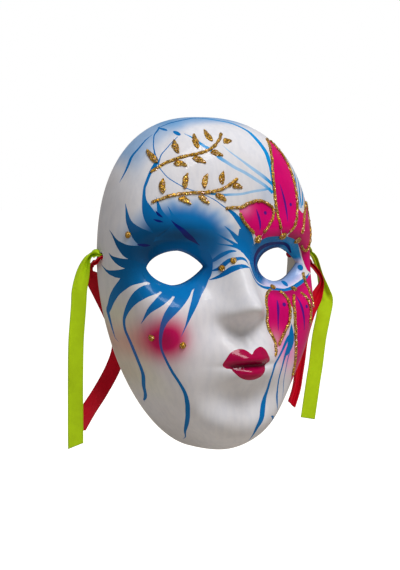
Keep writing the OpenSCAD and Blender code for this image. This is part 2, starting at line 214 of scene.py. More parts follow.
class Form:
    """The mask's outer and inner skins, in mm, from points on the pattern plane."""

    def __init__(self, sizes):
        self.kx = sizes.half_width / MM / PAT_W
        self.kd = sizes.depth / MM / PAT_DEPTH
        self.kn = sizes.nose / MM / PAT_NOSE
        self.up = sizes.crown / MM / PAT_UP
        self.down = sizes.chin / MM / PAT_DOWN
        self.wall = sizes.wall / MM
        self.eye_half = sizes.eye_width / MM / 2
        self.lid_up = sizes.lid_up / MM
        self.lid_down = sizes.lid_down / MM
        self.eye_x = (sizes.eye_gap + sizes.eye_width) / MM / 2
        self.eye_z = -sizes.eye_drop / MM
        self.eye_u = self.eye_x / self.kx
        self.eye_v = self.eye_z / self.down

    def kz(self, v):
        return np.where(v > 0, self.up, self.down)

    def nose_form(self, u, v, k, half):
        rise = smooth(20, -36, v)
        under = smooth(-47, -27, v)
        root = smooth(30, 6, v)
        ridge = np.exp(-(np.abs(u) / (half + 4.5 * rise)) ** 2.2)
        tip = 6.5 * bump(u, v, 0, -31.5, 10.5, 10) + 5 * pair(u, v, 12, -35, 6.5, 6.5)
        return (k * PAT_NOSE * rise - 2.5) * ridge * root * under + tip * k * under

    def soft_form(self, u, v):
        sockets = -21 * pair(u, v, self.eye_u + 2.8, self.eye_v - 1, self.eye_half + 4.5,
                             (self.lid_up + self.lid_down) / 2 + 4.2, 2.4)
        return (sockets + 2 * pair(u, v, 33, 20, 24, 9) + 4 * pair(u, v, 50, -38, 20, 24)
                + 12 * bump(u, v, 0, -66, 28, 18, 2.6) + 9 * bump(u, v, 0, -107, 32, 15, 2.2))

    @staticmethod
    def lip_form(u, v):
        return (3.6 * pair(u, v, 5.5, -61.9, 7, 4) + 5 * bump(u, v, 0, -72, 11, 4.6, 2.2)
                - 3 * bump(u, v, 0, -66.5, 15, 1.7) - bump(u, v, 0, -52, 3, 5))

    def depth(self, p, inner):
        u, v = p[..., 0], p[..., 1]
        r = np.minimum(1.0, reach(u, v))
        squareness = 3.9 + 9 * smooth(30, -115, v) + 9 * smooth(-75, -122, v)
        dome = (PAT_DEPTH + 2 * smooth(-20, -60, v)) * np.maximum(1 - r ** squareness, 0.0) ** (1 / 2.3)
        inland = np.maximum(1 - r ** 8, 0.0) ** 0.7
        if inner:
            rest = self.soft_form(u, v) + self.nose_form(u, v, 0.7 * self.kn, 10)
        else:
            rest = self.soft_form(u, v) + self.nose_form(u, v, self.kn, 7.5) + self.lip_form(u, v)
        return self.kd * (dome + rest * inland)

    def skin(self, q, inner=False):
        """Points of a skin from points of the flattened disc."""
        p = to_pattern(q)
        return np.stack([p[..., 0] * self.kx, -self.depth(p, inner), p[..., 1] * self.kz(p[..., 1])], -1)

    def normals(self, q, inner=False):
        e = 0.02
        du = np.array([e, 0.0])
        dv = np.array([0.0, e])
        n = np.cross(self.skin(q + du, inner) - self.skin(q - du, inner),
                     self.skin(q + dv, inner) - self.skin(q - dv, inner))
        return n / np.maximum(np.linalg.norm(n, axis=-1, keepdims=True), 1e-12)

    def inner_wall(self, q):
        return self.skin(q, True) - self.wall * self.normals(q, True)

    def eye_outline(self, side, count):
        """Closed outline of an eye hole in mm, x and z, with even steps."""
        t = -np.cos(np.linspace(0, math.pi, 200))
        lid = np.maximum(0, 1 - t * t) ** 0.8
        low = np.stack([t * self.eye_half, -self.lid_down * lid], -1)
        top = np.stack([-t * self.eye_half, self.lid_up * lid], -1)[1:-1]
        loop = even_loop(np.concatenate([low, top]), count)
        return loop + np.array([side * self.eye_x, self.eye_z])


def even_loop(points, count):
    """The closed outline through points, cut into count even steps."""
    ring = np.concatenate([points, points[:1]])
    along = np.concatenate([[0], np.cumsum(np.linalg.norm(np.diff(ring, axis=0), axis=1))])
    at = np.linspace(0, along[-1], count, endpoint=False)
    return np.stack([np.interp(at, along, ring[:, k]) for k in range(points.shape[1])], -1)


def even_path(points, step):
    """The open line through points, cut into even steps no longer than step."""
    along = np.concatenate([[0], np.cumsum(np.linalg.norm(np.diff(points[:, :2], axis=0), axis=1))])
    count = max(3, int(along[-1] / step) + 2)
    at = np.linspace(0, along[-1], count)
    return np.stack([np.interp(at, along, points[:, k]) for k in range(points.shape[1])], -1)


def spline(points, fine=10, closed=False):
    """Smooth line through points, of any number of columns."""
    p = np.array(points, float)
    last = len(p) if closed else len(p) - 1
    rows = []
    for i in range(last):
        if closed:
            a, b, c, d = (p[(i + k) % len(p)] for k in (-1, 0, 1, 2))
        else:
            a, b, c, d = p[max(i - 1, 0)], p[i], p[i + 1], p[min(i + 2, last)]
        for t in np.arange(fine) / fine:
            rows.append(0.5 * (2 * b + (c - a) * t + (2 * a - 5 * b + 4 * c - d) * t * t
                               + (3 * b - a - 3 * c + d) * t ** 3))
    if not closed:
        rows.append(p[-1])
    return np.array(rows)


def inside(points, outline):
    """Which points lie inside a closed outline."""
    lo, hi = outline.min(0), outline.max(0)
    near = np.all((points >= lo) & (points <= hi), axis=1)
    out = np.zeros(len(points), bool)
    x, y = points[near, 0], points[near, 1]
    odd = np.zeros(len(x), bool)
    nxt = np.roll(outline, -1, axis=0)
    for (x0, y0), (x1, y1) in zip(outline, nxt):
        if y0 == y1:
            continue
        crosses = (y0 > y) != (y1 > y)
        odd ^= crosses & (x < (x1 - x0) * (y - y0) / (y1 - y0) + x0)
    out[near] = odd
    return out


def gap_to(points, outline):
    """Distance of each point from a closed outline."""
    a = outline
    d = np.roll(outline, -1, axis=0) - a
    best = np.full(len(points), 1e9)
    size = np.maximum((d * d).sum(1), 1e-12)
    for k in range(len(a)):
        w = points - a[k]
        t = np.clip((w @ d[k]) / size[k], 0, 1)
        best = np.minimum(best, np.hypot(w[:, 0] - t * d[k, 0], w[:, 1] - t * d[k, 1]))
    return best


# ---------------------------------------------------------------- the painted ornament

# What a patch of the shell is painted with; in ornament() a later shape lies over an earlier one
GROUND, BLUE, PALE, NAVY, MAGENTA, LIPS, SOCKET, VIOLET = range(8)
PAINT_GLOSS = [0.55, 0.6, 0.55, 0.75, 0.7, 1.0, 0.9, 0.7]  # in the order of the paints

# Where the points below come from: many of those in STROKES and OVER_STROKES, and some in PATCHES and DOTS,
# are values that another program printed, as they stood or rounded. They are a trace and not a design.

# Brush strokes: paint, then pattern points with the stroke's width in mm
STROKES = [
    # fan of strokes under the left eye, from the nose outwards
    (BLUE, [(-20, -9, 5), (-24, -15, 6.5), (-31, -22.5, 5.2), (-37.5, -30.5, 3.8), (-41, -36.5, 2),
            (-43, -40.5, 1), (-46, -46.5, 0.15)]),
    (BLUE, [(-34, -16, 9), (-38.5, -20, 8.5), (-46, -25.6, 7.4), (-52.5, -31.5, 6), (-56, -37.8, 3.7),
            (-57, -45.5, 2.4), (-56, -53.3, 1.8), (-53, -60.6, 1.7), (-48.3, -69.3, 1.9),
            (-43.6, -76.4, 1.9), (-39.7, -83.2, 2.3), (-37.4, -90, 3), (-35.8, -96.5, 3.2),
            (-33, -104.2, 3), (-28.8, -111, 1.7), (-22, -118, 0.3)]),
    (BLUE, [(-46, -17.5, 7), (-51.6, -20.8, 7), (-56.5, -24, 6.5), (-61.2, -28.2, 4.4),
            (-63.5, -32.4, 2.3), (-65, -38.8, 0.15)]),
    (BLUE, [(-53, -13, 7.5), (-57, -16.2, 8.3), (-62.8, -17.9, 8.4), (-66.6, -20.8, 7.6),
            (-68.6, -24.6, 6), (-69.5, -29.8, 4.2), (-69.3, -36, 2.7), (-68, -42.5, 2.8),
            (-66, -48.8, 3), (-63, -57, 3.3), (-60, -64.4, 3.3), (-56.5, -72.4, 3.6),
            (-53, -80.6, 3.6), (-49, -88.2, 3), (-46.4, -92.8, 0.4)]),
    (BLUE, [(-62, -7, 11), (-67.7, -8.7, 10.5), (-70.6, -11.5, 9.2), (-72.6, -17, 7), (-73, -22.5, 6.2),
            (-72.4, -28.8, 4.8), (-71, -36.5, 3.2), (-68.4, -46, 1.6), (-66, -52.6, 0.2)]),
    # spikes towards the left temple
    (BLUE, [(-66, -4, 7), (-70, -6.5, 6.5), (-72.6, -7.6, 5.6), (-74.2, -7.5, 4), (-75.2, -6.3, 1.7),
            (-75.9, -2.2, 0.2)]),
    (BLUE, [(-62, -1, 8), (-67, -1.2, 7.5), (-71, -0.8, 6), (-73.2, 0.6, 4.4), (-74.5, 2.9, 1.8),
            (-75, 5.6, 0.2)]),
    (BLUE, [(-56, 7, 11), (-62, 6, 11), (-67, 5.9, 9.8), (-70.5, 7.4, 8), (-72.6, 11, 4.6),
            (-73.5, 14.5, 2), (-74.2, 20, 0.2)]),
    (BLUE, [(-58, 13, 12), (-63, 15.5, 11), (-66, 18.6, 8.8), (-68.2, 23.5, 5), (-68.8, 28.6, 3),
            (-68.4, 37.3, 0.2)]),
    # strokes from the left brow up over the forehead
    (BLUE, [(-52, 20, 13), (-56.3, 25.7, 12), (-59, 28.4, 9.2), (-60.5, 33.7, 6.6), (-61, 39.7, 3),
            (-59.8, 46.7, 1.8), (-58, 51, 2.1), (-55.5, 56, 2.1), (-52.8, 60, 2.9), (-50, 64, 2.6),
            (-49.4, 67.7, 1.2), (-47.4, 73.6, 0.8), (-43, 80, 0.9), (-38, 84, 1.6), (-34.4, 86.4, 0.3)]),
    (BLUE, [(-51, 25, 6), (-53.5, 30, 4.6), (-54.4, 33.8, 3), (-55, 41.5, 0.15)]),
    (BLUE, [(-41, 15, 8), (-43.6, 19.5, 7.6), (-45.2, 25, 5.5), (-47.4, 30.2, 1.9), (-49.6, 36, 0.15)]),
    (BLUE, [(-67, 50.3, 0.15), (-64.8, 54.7, 1.2), (-61, 61.6, 2.4), (-57.6, 67, 2.5), (-53, 72.2, 1.8),
            (-47.5, 77.5, 1.2), (-42, 81.5, 0.2)]),
    (BLUE, [(-32.7, 79.8, 0.6), (-38.4, 75.6, 0.6), (-43.3, 71.3, 0.7), (-46.5, 68.2, 0.8),
            (-48.7, 64.5, 0.9), (-50, 61, 0.7), (-49, 57.3, 0.6), (-46.3, 53, 0.6), (-39.8, 48.3, 0.6),
            (-36.4, 46.7, 0.6), (-31, 45, 0.4)]),
    # strokes over the crown and the right of the forehead
    (BLUE, [(-36, 85.6, 1), (-27, 88.9, 2), (-16, 91.2, 2.4), (-8, 92.1, 2.6), (-1, 91.5, 2.6),
            (5.3, 90.2, 2.2), (11.8, 88.8, 2.7), (16.8, 86, 2.7), (20.5, 83.2, 3.1), (22.8, 79, 3.6),
            (25.2, 74.2, 3.6), (27, 69.2, 3.7), (27.4, 63.8, 3.4), (27.4, 58, 2.6), (27.2, 52, 2),
            (27.2, 46, 1.6), (27.4, 41, 0.8)]),
    (PALE, [(-28, 81.8, 0.3), (-24, 78.6, 1.4), (-20.4, 74.4, 2.3), (-14, 69.8, 2.9), (-11.2, 66.4, 2.8),
            (-7, 63.6, 2.4), (-1.2, 60, 2.2), (5.8, 56.7, 2.2), (12.8, 52.7, 2.4), (20.5, 48.2, 2.2),
            (26.5, 43.5, 2.2)]),
    (PALE, [(-6.5, 74.3, 0.2), (-2.3, 70, 0.9), (4.2, 65, 1.4), (11.6, 59.7, 2.2), (19.4, 54.5, 2.6),
            (24.8, 50.6, 2.3), (27, 48.6, 1.8)]),
    (PALE, [(-31, 45.4, 0.5), (-26.6, 44.2, 1), (-14.6, 42.7, 1.3), (-7.2, 42.7, 1.6), (1.4, 43, 1.5),
            (10.6, 44.5, 1.6), (20.4, 45.7, 1.5), (25, 46.6, 1)]),
    (BLUE, [(-27, 43.5, 0.4), (-19, 39.8, 0.6), (-13.2, 36, 0.7), (-10.5, 34.2, 0.9), (-5.7, 31, 2.6),
            (-1.5, 26.8, 3.8), (3.4, 21.2, 4.8), (6.6, 15.5, 5.6), (8.5, 9.5, 6)]),
    (PALE, [(56, 68, 0.3), (53.8, 60, 1), (52.5, 53.8, 1.6), (50.4, 45.7, 2.3), (50.8, 38.6, 1.8),
            (52, 33, 0.8)]),
    (PALE, [(58, 60, 0.3), (55.6, 50.4, 1.8), (53.6, 43, 2.2), (53.3, 37.6, 2.2), (53.6, 33, 1)]),
    (PALE, [(62.5, 54, 0.3), (60, 45.2, 2.4), (57.4, 40, 2.8), (55.2, 34.7, 2)]),
    # spikes over the nose's root
    (BLUE, [(-12.5, 23, 0.15), (-9, 20.4, 1.3), (-5, 17.6, 2), (0.2, 13.7, 2.8), (5, 9.5, 4)]),
    (BLUE, [(-9.5, 20.6, 0.15), (-6, 17.4, 1.4), (-2.4, 14.2, 2.4), (3, 10, 4)]),
    (BLUE, [(-34, 20.7, 0.15), (-23, 20, 0.5), (-16, 17, 0.9), (-12.8, 15.4, 1.1), (-6.6, 12.6, 1.7),
            (-2.3, 10.4, 2.2), (4, 8, 4)]),
    (BLUE, [(-29.6, 17.8, 0.15), (-22, 13.8, 0.7), (-14.8, 11.2, 0.8), (-8.6, 10.3, 1), (-2, 9, 2.2),
            (5, 6, 4)]),
    (BLUE, [(1, 21, 3), (2, 18, 6), (3.4, 13.6, 9), (5.5, 9, 10), (7.6, 5, 9), (9.8, 1, 7),
            (10.5, -3, 5), (11.5, -7, 2)]),
    # bands over the bridge of the nose
    (BLUE, [(-18.6, -1.2, 0.4), (-16, 0.9, 2.2), (-12.3, 4, 2.8), (-7.7, 6.2, 2), (-4.2, 6.5, 1.2),
            (-2.6, 6.3, 0.4)]),
    (BLUE, [(0.5, 6.3, 0.4), (3, 5, 1.2), (5, 3.2, 1.2), (7, 0, 0.4)]),
    (BLUE, [(-18, -6.4, 0.3), (-13.8, -4.8, 2.2), (-10.4, -1.6, 3), (-7.6, 0.7, 2.6), (-4.7, 1.2, 2.6),
            (-0.5, 1.8, 2.1), (3, 0.7, 1.7), (5.5, -2.7, 0.3)]),
    (BLUE, [(-19, -11.9, 0.4), (-14.6, -10.2, 2), (-10.6, -7.5, 3.2), (-7.2, -5, 4), (-3.4, -3.6, 3.4),
            (0.8, -3.2, 2.6), (5.6, -4.4, 0.5)]),
    # dark accents on the left brow
    (NAVY, [(-48.5, 27, 0.2), (-46, 24, 1.6), (-42.2, 20.7, 2.9), (-38.4, 17.3, 3.6), (-34, 14.6, 3),
            (-30, 12.2, 1.2), (-27, 10.5, 0.3)]),
    (NAVY, [(-66, 11.4, 0.3), (-64, 11.3, 1.6), (-61.6, 11, 2), (-59, 11, 0.2)]),
    (NAVY, [(-56.5, 33, 0.2), (-55, 30.5, 1.6), (-53, 28.8, 0.3)]),
    (NAVY, [(-58, 27.5, 0.3), (-55.5, 26.5, 1.6), (-53, 25.8, 0.3)]),
]

# Closed patches of paint, as pattern points
PATCHES = [
    (BLUE, [(-17.3, 2), (-16.6, -3), (-17.6, -9), (-20.5, -13), (-25, -15), (-33, -19), (-41, -21.5),
            (-47, -21.4), (-52, -19.5), (-56, -16.5), (-58.5, -13), (-64, -11), (-68.5, -8),
            (-69.5, -4.5), (-68.6, -1), (-67.6, 2), (-66, 6), (-62, 10.5), (-56, 14), (-48, 14.5),
            (-38, 13.5), (-28, 11), (-21, 7)]),
    (SOCKET, [(8, 8), (12, 10.8), (15.5, 13), (21.3, 15), (28.7, 15.7), (37.7, 14.9), (47, 12.6),
              (54, 8.4), (58.5, 2), (60.5, -4), (60, -9.5), (55, -14.5), (47, -17.6), (38, -19.5),
              (30, -18.8), (22, -16.8), (15, -13.5), (10, -9), (7.5, -3), (7, 3)]),
    (MAGENTA, [(-0.4, 33.4), (7, 36.4), (14, 38), (20.5, 36.5), (25, 32.5), (24.7, 27.5), (20.8, 22),
               (17.5, 17.5), (14, 13.6), (10.6, 17.2), (6, 21.8), (2, 26.5)]),
    (MAGENTA, [(24.8, 31.5), (28.2, 31), (29.4, 26), (31.6, 18.6), (33, 15.4), (28.7, 15.2),
               (21.3, 14.8), (15.5, 12.8), (17.6, 17.5), (21, 22), (24.8, 27.5)]),
    (MAGENTA, [(35.4, 78.5), (32, 69.6), (29.6, 60), (28.6, 50), (28.5, 40), (29.3, 29), (31.5, 19.2),
               (35, 15.6), (39, 17), (42.3, 20.4), (45.8, 27), (48.1, 37), (48.1, 48), (46.6, 59),
               (43.1, 69), (38, 77.2)]),
    (MAGENTA, [(46.4, 29), (48.8, 33), (51.6, 31.2), (54.5, 29.6), (57.6, 33), (61, 38), (64, 41),
               (68.5, 36), (72, 26), (74.4, 14), (75.4, 2), (74.8, -10), (70, -11.2), (64, -9),
               (61, -2), (58.4, 4), (53.6, 8.8), (47, 12.6), (39, 15), (41, 18), (44.5, 23.5)]),
    (MAGENTA, [(27, -20.3), (22.6, -22.9), (19.4, -28), (19, -36), (20.6, -45), (23, -53),
               (24.6, -56.5), (26, -55), (31.5, -48), (36, -40), (37.4, -32), (36.8, -25), (33.4, -20.6)]),
    (MAGENTA, [(34, -20.2), (43, -19.8), (50, -18.4), (57, -16), (64, -12.5), (70, -11.8), (74.6, -14),
               (73.4, -24), (70.6, -38), (66.2, -52), (60, -64), (52.6, -76), (45.6, -84), (41.5, -80),
               (42, -66), (41, -54), (40.4, -44), (40.2, -35), (38.8, -31), (37.4, -26)]),
    (LIPS, [(-19.3, -65.2), (-17.3, -61.4), (-14.5, -57.9), (-10.7, -56), (-6.5, -55.5), (-2.8, -56.7),
            (-0.5, -59), (2, -57.4), (5, -55.8), (9.3, -54.9), (12.3, -57), (13.8, -60.5),
            (15.2, -64.2), (12, -66.2), (10.5, -68.2), (8.5, -71.2), (3.5, -74.8), (-2.5, -75.5),
            (-8.5, -73.8), (-12.8, -70), (-14.2, -68), (-17, -67.6)]),
]

# Strokes that lie over the patches
OVER_STROKES = [
    (BLUE, [(5.6, -4, 0.8), (8.7, -9.7, 2), (12, -13, 1.8), (15.4, -15.5, 2), (21.3, -18, 2.2),
            (27, -18.9, 2.6), (34.2, -20, 2.6), (38.8, -20.4, 2.6), (46, -19.2, 3), (54, -16.7, 2.8),
            (61.7, -13.3, 1.6), (65, -11, 0.5)]),
    (NAVY, [(15.5, -8, 1), (14.2, -3, 3), (14.6, 2, 4.2), (18, 7, 4.5), (25, 9.6, 4), (33, 10.4, 3.2),
            (41, 9.6, 2.6), (47, 7, 2), (52, 3, 0.6)]),
    # feather strokes below the cheek petals
    (BLUE, [(37.6, -42, 0.2), (37.4, -45.6, 2.4), (37.2, -50, 4.4), (36.6, -54.5, 5.2), (35, -59, 4),
            (33, -62.5, 1)]),
    (BLUE, [(36.5, -49, 2), (33.6, -52.3, 2.4), (28, -59.7, 1.9), (20.7, -68, 2.1), (18.2, -75.6, 2.3),
            (17.8, -83.7, 2.3), (16, -89.8, 3.2), (14, -95.5, 4.2), (11.7, -102.3, 4.2),
            (8, -108.6, 2.6), (6.5, -117, 0.2)]),
    (BLUE, [(37.5, -52, 3.4), (35, -56.7, 3.2), (32.4, -61, 2.4), (30.2, -66.2, 1.8), (27.2, -75.7, 1.5),
            (27.2, -83.6, 1.3), (27.4, -91, 1.7), (28.7, -99.8, 0.2)]),
    (BLUE, [(37, -58, 1), (35.7, -61, 0.9), (33.4, -69.6, 0.8), (32.5, -78.6, 0.6), (33.4, -86.4, 0.5),
            (33.5, -92, 0.15)]),
    (BLUE, [(21.5, -101.5, 0.4), (24.5, -103, 2.4), (25.2, -105.5, 2), (22.5, -108.5, 0.2)]),
    # veins of the petals
    (VIOLET, [(12.6, 33, 0.3), (14, 28.5, 1.7), (14.8, 23.5, 1.5), (14.6, 19.2, 0.3)]),
    (VIOLET, [(33.4, 49, 0.3), (35.6, 41, 1.5), (37, 33, 1.7), (37.2, 24.6, 0.3)]),
    (VIOLET, [(28.8, -26.4, 0.5), (28.6, -31, 1.9), (28, -38, 1.2), (27.2, -46, 0.3)]),
    (VIOLET, [(44.4, -24.4, 0.4), (46.4, -31, 1.9), (47.8, -38.6, 1.5), (48.4, -47, 0.3)]),
]

# Round dots of paint: paint, place, radius
DOTS = [
    (BLUE, -35.4, 84.6, 1.1), (BLUE, -31.6, 82, 1.6), (BLUE, 58.8, -7, 1.9), (BLUE, 42, -16.6, 1.9),
    (VIOLET, 19.4, 30.6, 1.2), (VIOLET, 41.6, 35.6, 1.2), (VIOLET, 33.4, -29.4, 1.3),
    (VIOLET, 51.2, -31.4, 1.2),
]

EDGE_STEP = 0.9  # spacing of points along an edge of paint, on the disc, in mm
RIM_REACH = 0.9985  # paint stops this close to the rim


def clamp_to_rim(p):
    r = reach(p[:, 0], p[:, 1])
    return p * np.minimum(1.0, RIM_REACH / np.maximum(r, 1e-9))[:, None]


def stroke_outline(form, points):
    """Closed outline, on the disc, of a brush stroke with its widths in mm on the skin."""
    line = even_path(spline(points), 1.3)
    q = to_disc(clamp_to_rim(line[:, :2]))
    half = line[:, 2] / 2
    e = 0.05
    du = (form.skin(q + [e, 0]) - form.skin(q - [e, 0])) / (2 * e)
    dv = (form.skin(q + [0, e]) - form.skin(q - [0, e])) / (2 * e)
    way = np.gradient(q, axis=0)
    along = du * way[:, :1] + dv * way[:, 1:]
    across = np.cross(np.cross(du, dv), along)
    across /= np.maximum(np.linalg.norm(across, axis=1, keepdims=True), 1e-9)
    # the step on the disc that gives one mm across the stroke on the skin
    uu, uv, vv = (du * du).sum(1), (du * dv).sum(1), (dv * dv).sum(1)
    au, av = (across * du).sum(1), (across * dv).sum(1)
    det = np.maximum(uu * vv - uv * uv, 1e-9)
    side = np.stack([(vv * au - uv * av) / det, (uu * av - uv * au) / det], -1) * half[:, None]
    outline = np.concatenate([q + side, (q - side)[::-1]])
    t = reach(outline[:, 0], outline[:, 1])
    return outline * np.minimum(1.0, 0.985 / np.maximum(t, 1e-9))[:, None]


def patch_outline(points):
    line = to_disc(clamp_to_rim(spline(points, closed=True)))
    count = int(np.linalg.norm(np.diff(line, axis=0), axis=1).sum() / EDGE_STEP)
    return even_loop(line, max(count, 12))


def dot_outline(u, v, radius):
    a = np.linspace(0, 2 * math.pi, 20, endpoint=False)
    return to_disc(np.stack([u + radius * np.cos(a), v + radius * np.sin(a)], -1))


def ornament(form):
    """All painted outlines in painting order: (paint, outline on the disc)."""
    shapes = [(kind, patch_outline(points)) for kind, points in PATCHES[:1]]
    shapes += [(kind, stroke_outline(form, points)) for kind, points in STROKES]
    shapes += [(kind, patch_outline(points)) for kind, points in PATCHES[1:]]
    shapes += [(kind, stroke_outline(form, points)) for kind, points in OVER_STROKES]
    shapes += [(kind, dot_outline(u, v, radius)) for kind, u, v, radius in DOTS]
    return shapes


# ---------------------------------------------------------------- the shell's mesh

EYE_STEPS = 120
HOLE_STEPS = 36
RIM_STEPS = 480
RIM_DEPTH = 3  # the rim's unpainted edge reaches this far forward, in mm
RIM_PEARL = 0.104  # share of the pearl ground in the colour of that edge
RIM_RING = 0.9955  # where the skins stop and the rounded rim begins, on the disc
LIP_RINGS = (0.18, 0.5, 0.95, 1.6)  # rings round an eye hole, in mm, that carry its rounding


def settle(surface, start, want, axes):
    """Points of the disc at which a skin has the wanted two coordinates."""
    q = start.copy()
    e = 0.02
    for _ in range(12):
        here = surface(q)[:, axes]
        a = (surface(q + [e, 0])[:, axes] - surface(q - [e, 0])[:, axes]) / (2 * e)
        b = (surface(q + [0, e])[:, axes] - surface(q - [0, e])[:, axes]) / (2 * e)
        miss = want - here
        det = a[:, 0] * b[:, 1] - a[:, 1] * b[:, 0]
        det = np.where(np.abs(det) < 1e-6, 1e-6, det)
        step = np.stack([(miss[:, 0] * b[:, 1] - miss[:, 1] * b[:, 0]) / det,
                         (a[:, 0] * miss[:, 1] - a[:, 1] * miss[:, 0]) / det], -1)
        size = np.linalg.norm(step, axis=1, keepdims=True)
        q = q + step * np.minimum(1.0, 3.0 / np.maximum(size, 1e-9))
    return q


def disc_ring(t, count, turn=0.0):
    """Points round the disc at reach t, evenly spaced on the pattern."""
    a = np.linspace(0, 2 * math.pi, 1440, endpoint=False) + turn
    d = np.stack([np.cos(a), np.sin(a)], -1)
    ring = d / reach(d[:, 0], d[:, 1])[:, None]
    return even_loop(ring, count) * t


def disc_grid(step, limit):
    """Evenly spread points of the disc, with step as the spacing on the skin, in mm."""
    rings = int(145 / step)
    rows = [np.zeros((1, 2))]
    for k in range(1, rings):
        t = limit * k / rings
        round_mm = 655 * math.sin(t * math.pi / 2)
        rows.append(disc_ring(t, max(6, int(round_mm / step)), 0.5 * (k % 2) * step / (90 * t)))
    return np.concatenate(rows)


class Skin:
    """One skin of the shell as triangles on the disc, with its open edges."""

    def __init__(self, form, inner, step, shapes):
        surface = form.inner_wall if inner else form.skin
        self.form, self.inner = form, inner
        self.rim = disc_ring(RIM_RING, RIM_STEPS)
        self.eyes, self.holes, rings = [], [], []
        for side in (-1, 1):
            want = form.eye_outline(side, EYE_STEPS)
            start = to_disc(np.stack([want[:, 0] / form.kx, want[:, 1] / form.kz(want[:, 1])], -1))
            self.eyes.append(settle(surface, start, want, [0, 2]))
            if not inner:
                for gap in LIP_RINGS:
                    out = want + gap * offset_of(want)
                    start = to_disc(np.stack([out[:, 0] / form.kx, out[:, 1] / form.kz(out[:, 1])], -1))
                    rings.append(start)
            self.holes.append(self.hole_loop(surface, side))
        self.mesh(step, rings, [outline for _, outline in shapes])

    def hole_loop(self, surface, side):
        sizes = bpy.context.scene.mask_shell
        a = np.linspace(0, 2 * math.pi, HOLE_STEPS, endpoint=False)
        radius = sizes.hole / MM / 2
        want = np.stack([-sizes.hole_inset / MM + radius * np.cos(a),
                         sizes.hole_up / MM + radius * np.sin(a)], -1)
        start = np.stack([np.full(HOLE_STEPS, side * PAT_W * 0.93), want[:, 1]], -1)
        return settle(surface, start, want, [1, 2])

    def mesh(self, step, rings, outlines):
        loops = [self.rim] + self.eyes + self.holes + rings + outlines
        fixed = np.concatenate(loops)
        tree = kdtree.KDTree(len(fixed))
        for i, p in enumerate(fixed):
            tree.insert((p[0], p[1], 0.0), i)
        tree.balance()
        free = disc_grid(step, RIM_RING)
        clear = 0.36 * step
        keep = np.array([tree.find((p[0], p[1], 0.0))[2] > clear for p in free])
        free = free[keep]
        edges, at = [], 0
        for loop in loops:
            n = len(loop)
            edges += [(at + i, at + (i + 1) % n) for i in range(n)]
            at += n
        points = [Vector((float(x), float(y))) for x, y in np.concatenate([fixed, free])]
        made = geometry.delaunay_2d_cdt(points, edges, [], 0, 1e-5, False)
        self.q = np.array([[p.x, p.y] for p in made[0]])
        faces = np.array([f for f in made[2] if len(f) == 3])
        middle = self.q[faces].mean(1)
        keep = inside(middle, self.rim)
        for loop in self.eyes + self.holes:
            keep &= ~inside(middle, loop)
        faces = faces[keep]
        a, b, c = (self.q[faces[:, k]] for k in range(3))
        area = (b[:, 0] - a[:, 0]) * (c[:, 1] - a[:, 1]) - (b[:, 1] - a[:, 1]) * (c[:, 0] - a[:, 0])
        faces = faces[np.abs(area) > 1e-9]
        turn = area[np.abs(area) > 1e-9] < 0
        faces[turn] = faces[turn][:, ::-1]
        used = np.unique(faces)
        number = np.full(len(self.q), -1)
        number[used] = np.arange(len(used))
        self.q, self.faces = self.q[used], number[faces]
        self.places = self.shape()

    def shape(self):
        form = self.form
        p = form.inner_wall(self.q) if self.inner else form.skin(self.q)
        if not self.inner:
            # the eye holes' outer edges are rounded
            radius = bpy.context.scene.mask_shell.lip_round / MM
            for side in (-1, 1):
                outline = form.eye_outline(side, EYE_STEPS)
                near = np.abs(p[:, 0] - side * form.eye_x) < form.eye_half + 4
                gap = gap_to(p[near][:, [0, 2]], outline)
                gap = np.minimum(gap, radius)
                p[near, 1] += radius - np.sqrt(np.maximum(radius ** 2 - (radius - gap) ** 2, 0))
        return p

    def numbers(self, loop):
        """Numbers of the mesh points along one of the open edges."""
        tree = kdtree.KDTree(len(self.q))
        for i, p in enumerate(self.q):
            tree.insert((p[0], p[1], 0.0), i)
        tree.balance()
        return np.array([tree.find((p[0], p[1], 0.0))[1] for p in loop])


def offset_of(loop):
    """Unit outward directions at the points of a closed outline that runs anticlockwise."""
    way = np.roll(loop, -1, axis=0) - np.roll(loop, 1, axis=0)
    way /= np.linalg.norm(way, axis=1, keepdims=True)
    return np.stack([way[:, 1], -way[:, 0]], -1)


def join_loops(a, b):
    """Triangles of the strip between two loops of equal length."""
    n = len(a)
    i = np.arange(n)
    j = (i + 1) % n
    return np.concatenate([np.stack([a[i], b[i], b[j]], -1), np.stack([a[i], b[j], a[j]], -1)])


def add_mesh(name, places, faces):
    """New object at the origin from places in mm."""
    mesh = bpy.data.meshes.new(name)
    mesh.from_pydata((np.asarray(places) * MM).tolist(), [], np.asarray(faces).tolist())
    mesh.validate()
    piece = bpy.data.objects.new(name, mesh)
    bpy.context.scene.collection.objects.link(piece)
    return piece


def only(piece):
    """Selects one object and nothing else."""
    bpy.ops.object.select_all(action="DESELECT")
    piece.select_set(True)
    bpy.context.view_layer.objects.active = piece


def face_out(piece):
    """Merges doubles and turns all faces outwards, with the edit mode's own tools."""
    only(piece)
    bpy.ops.object.mode_set(mode="EDIT")
    bpy.ops.mesh.select_all(action="SELECT")
    bpy.ops.mesh.remove_doubles(threshold=1e-6)
    bpy.ops.mesh.normals_make_consistent(inside=False)
    bpy.ops.object.mode_set(mode="OBJECT")
    bpy.ops.object.shade_smooth()


def rounded_rim(outer, edge, wall):
    """Rows of places from the outer skin's open edge over the rounded rim to the inner one."""
    out = even_loop(outer, len(outer))
    flat = out[:, [0, 2]]
    normal = offset_of(flat)
    rows = []
    steps = [(0.0, edge)] + [(edge * (1 - math.cos(a)), edge * (1 - math.sin(a)))
                             for a in np.linspace(0.3, math.pi / 2, 5)]
    steps += [(wall - x, y) for x, y in reversed(steps)]
    for inset, back in steps:
        place = np.empty((len(outer), 3))
        place[:, [0, 2]] = outer[:, [0, 2]] - inset * normal
        place[:, 1] = -back
        rows.append(place)
    return rows


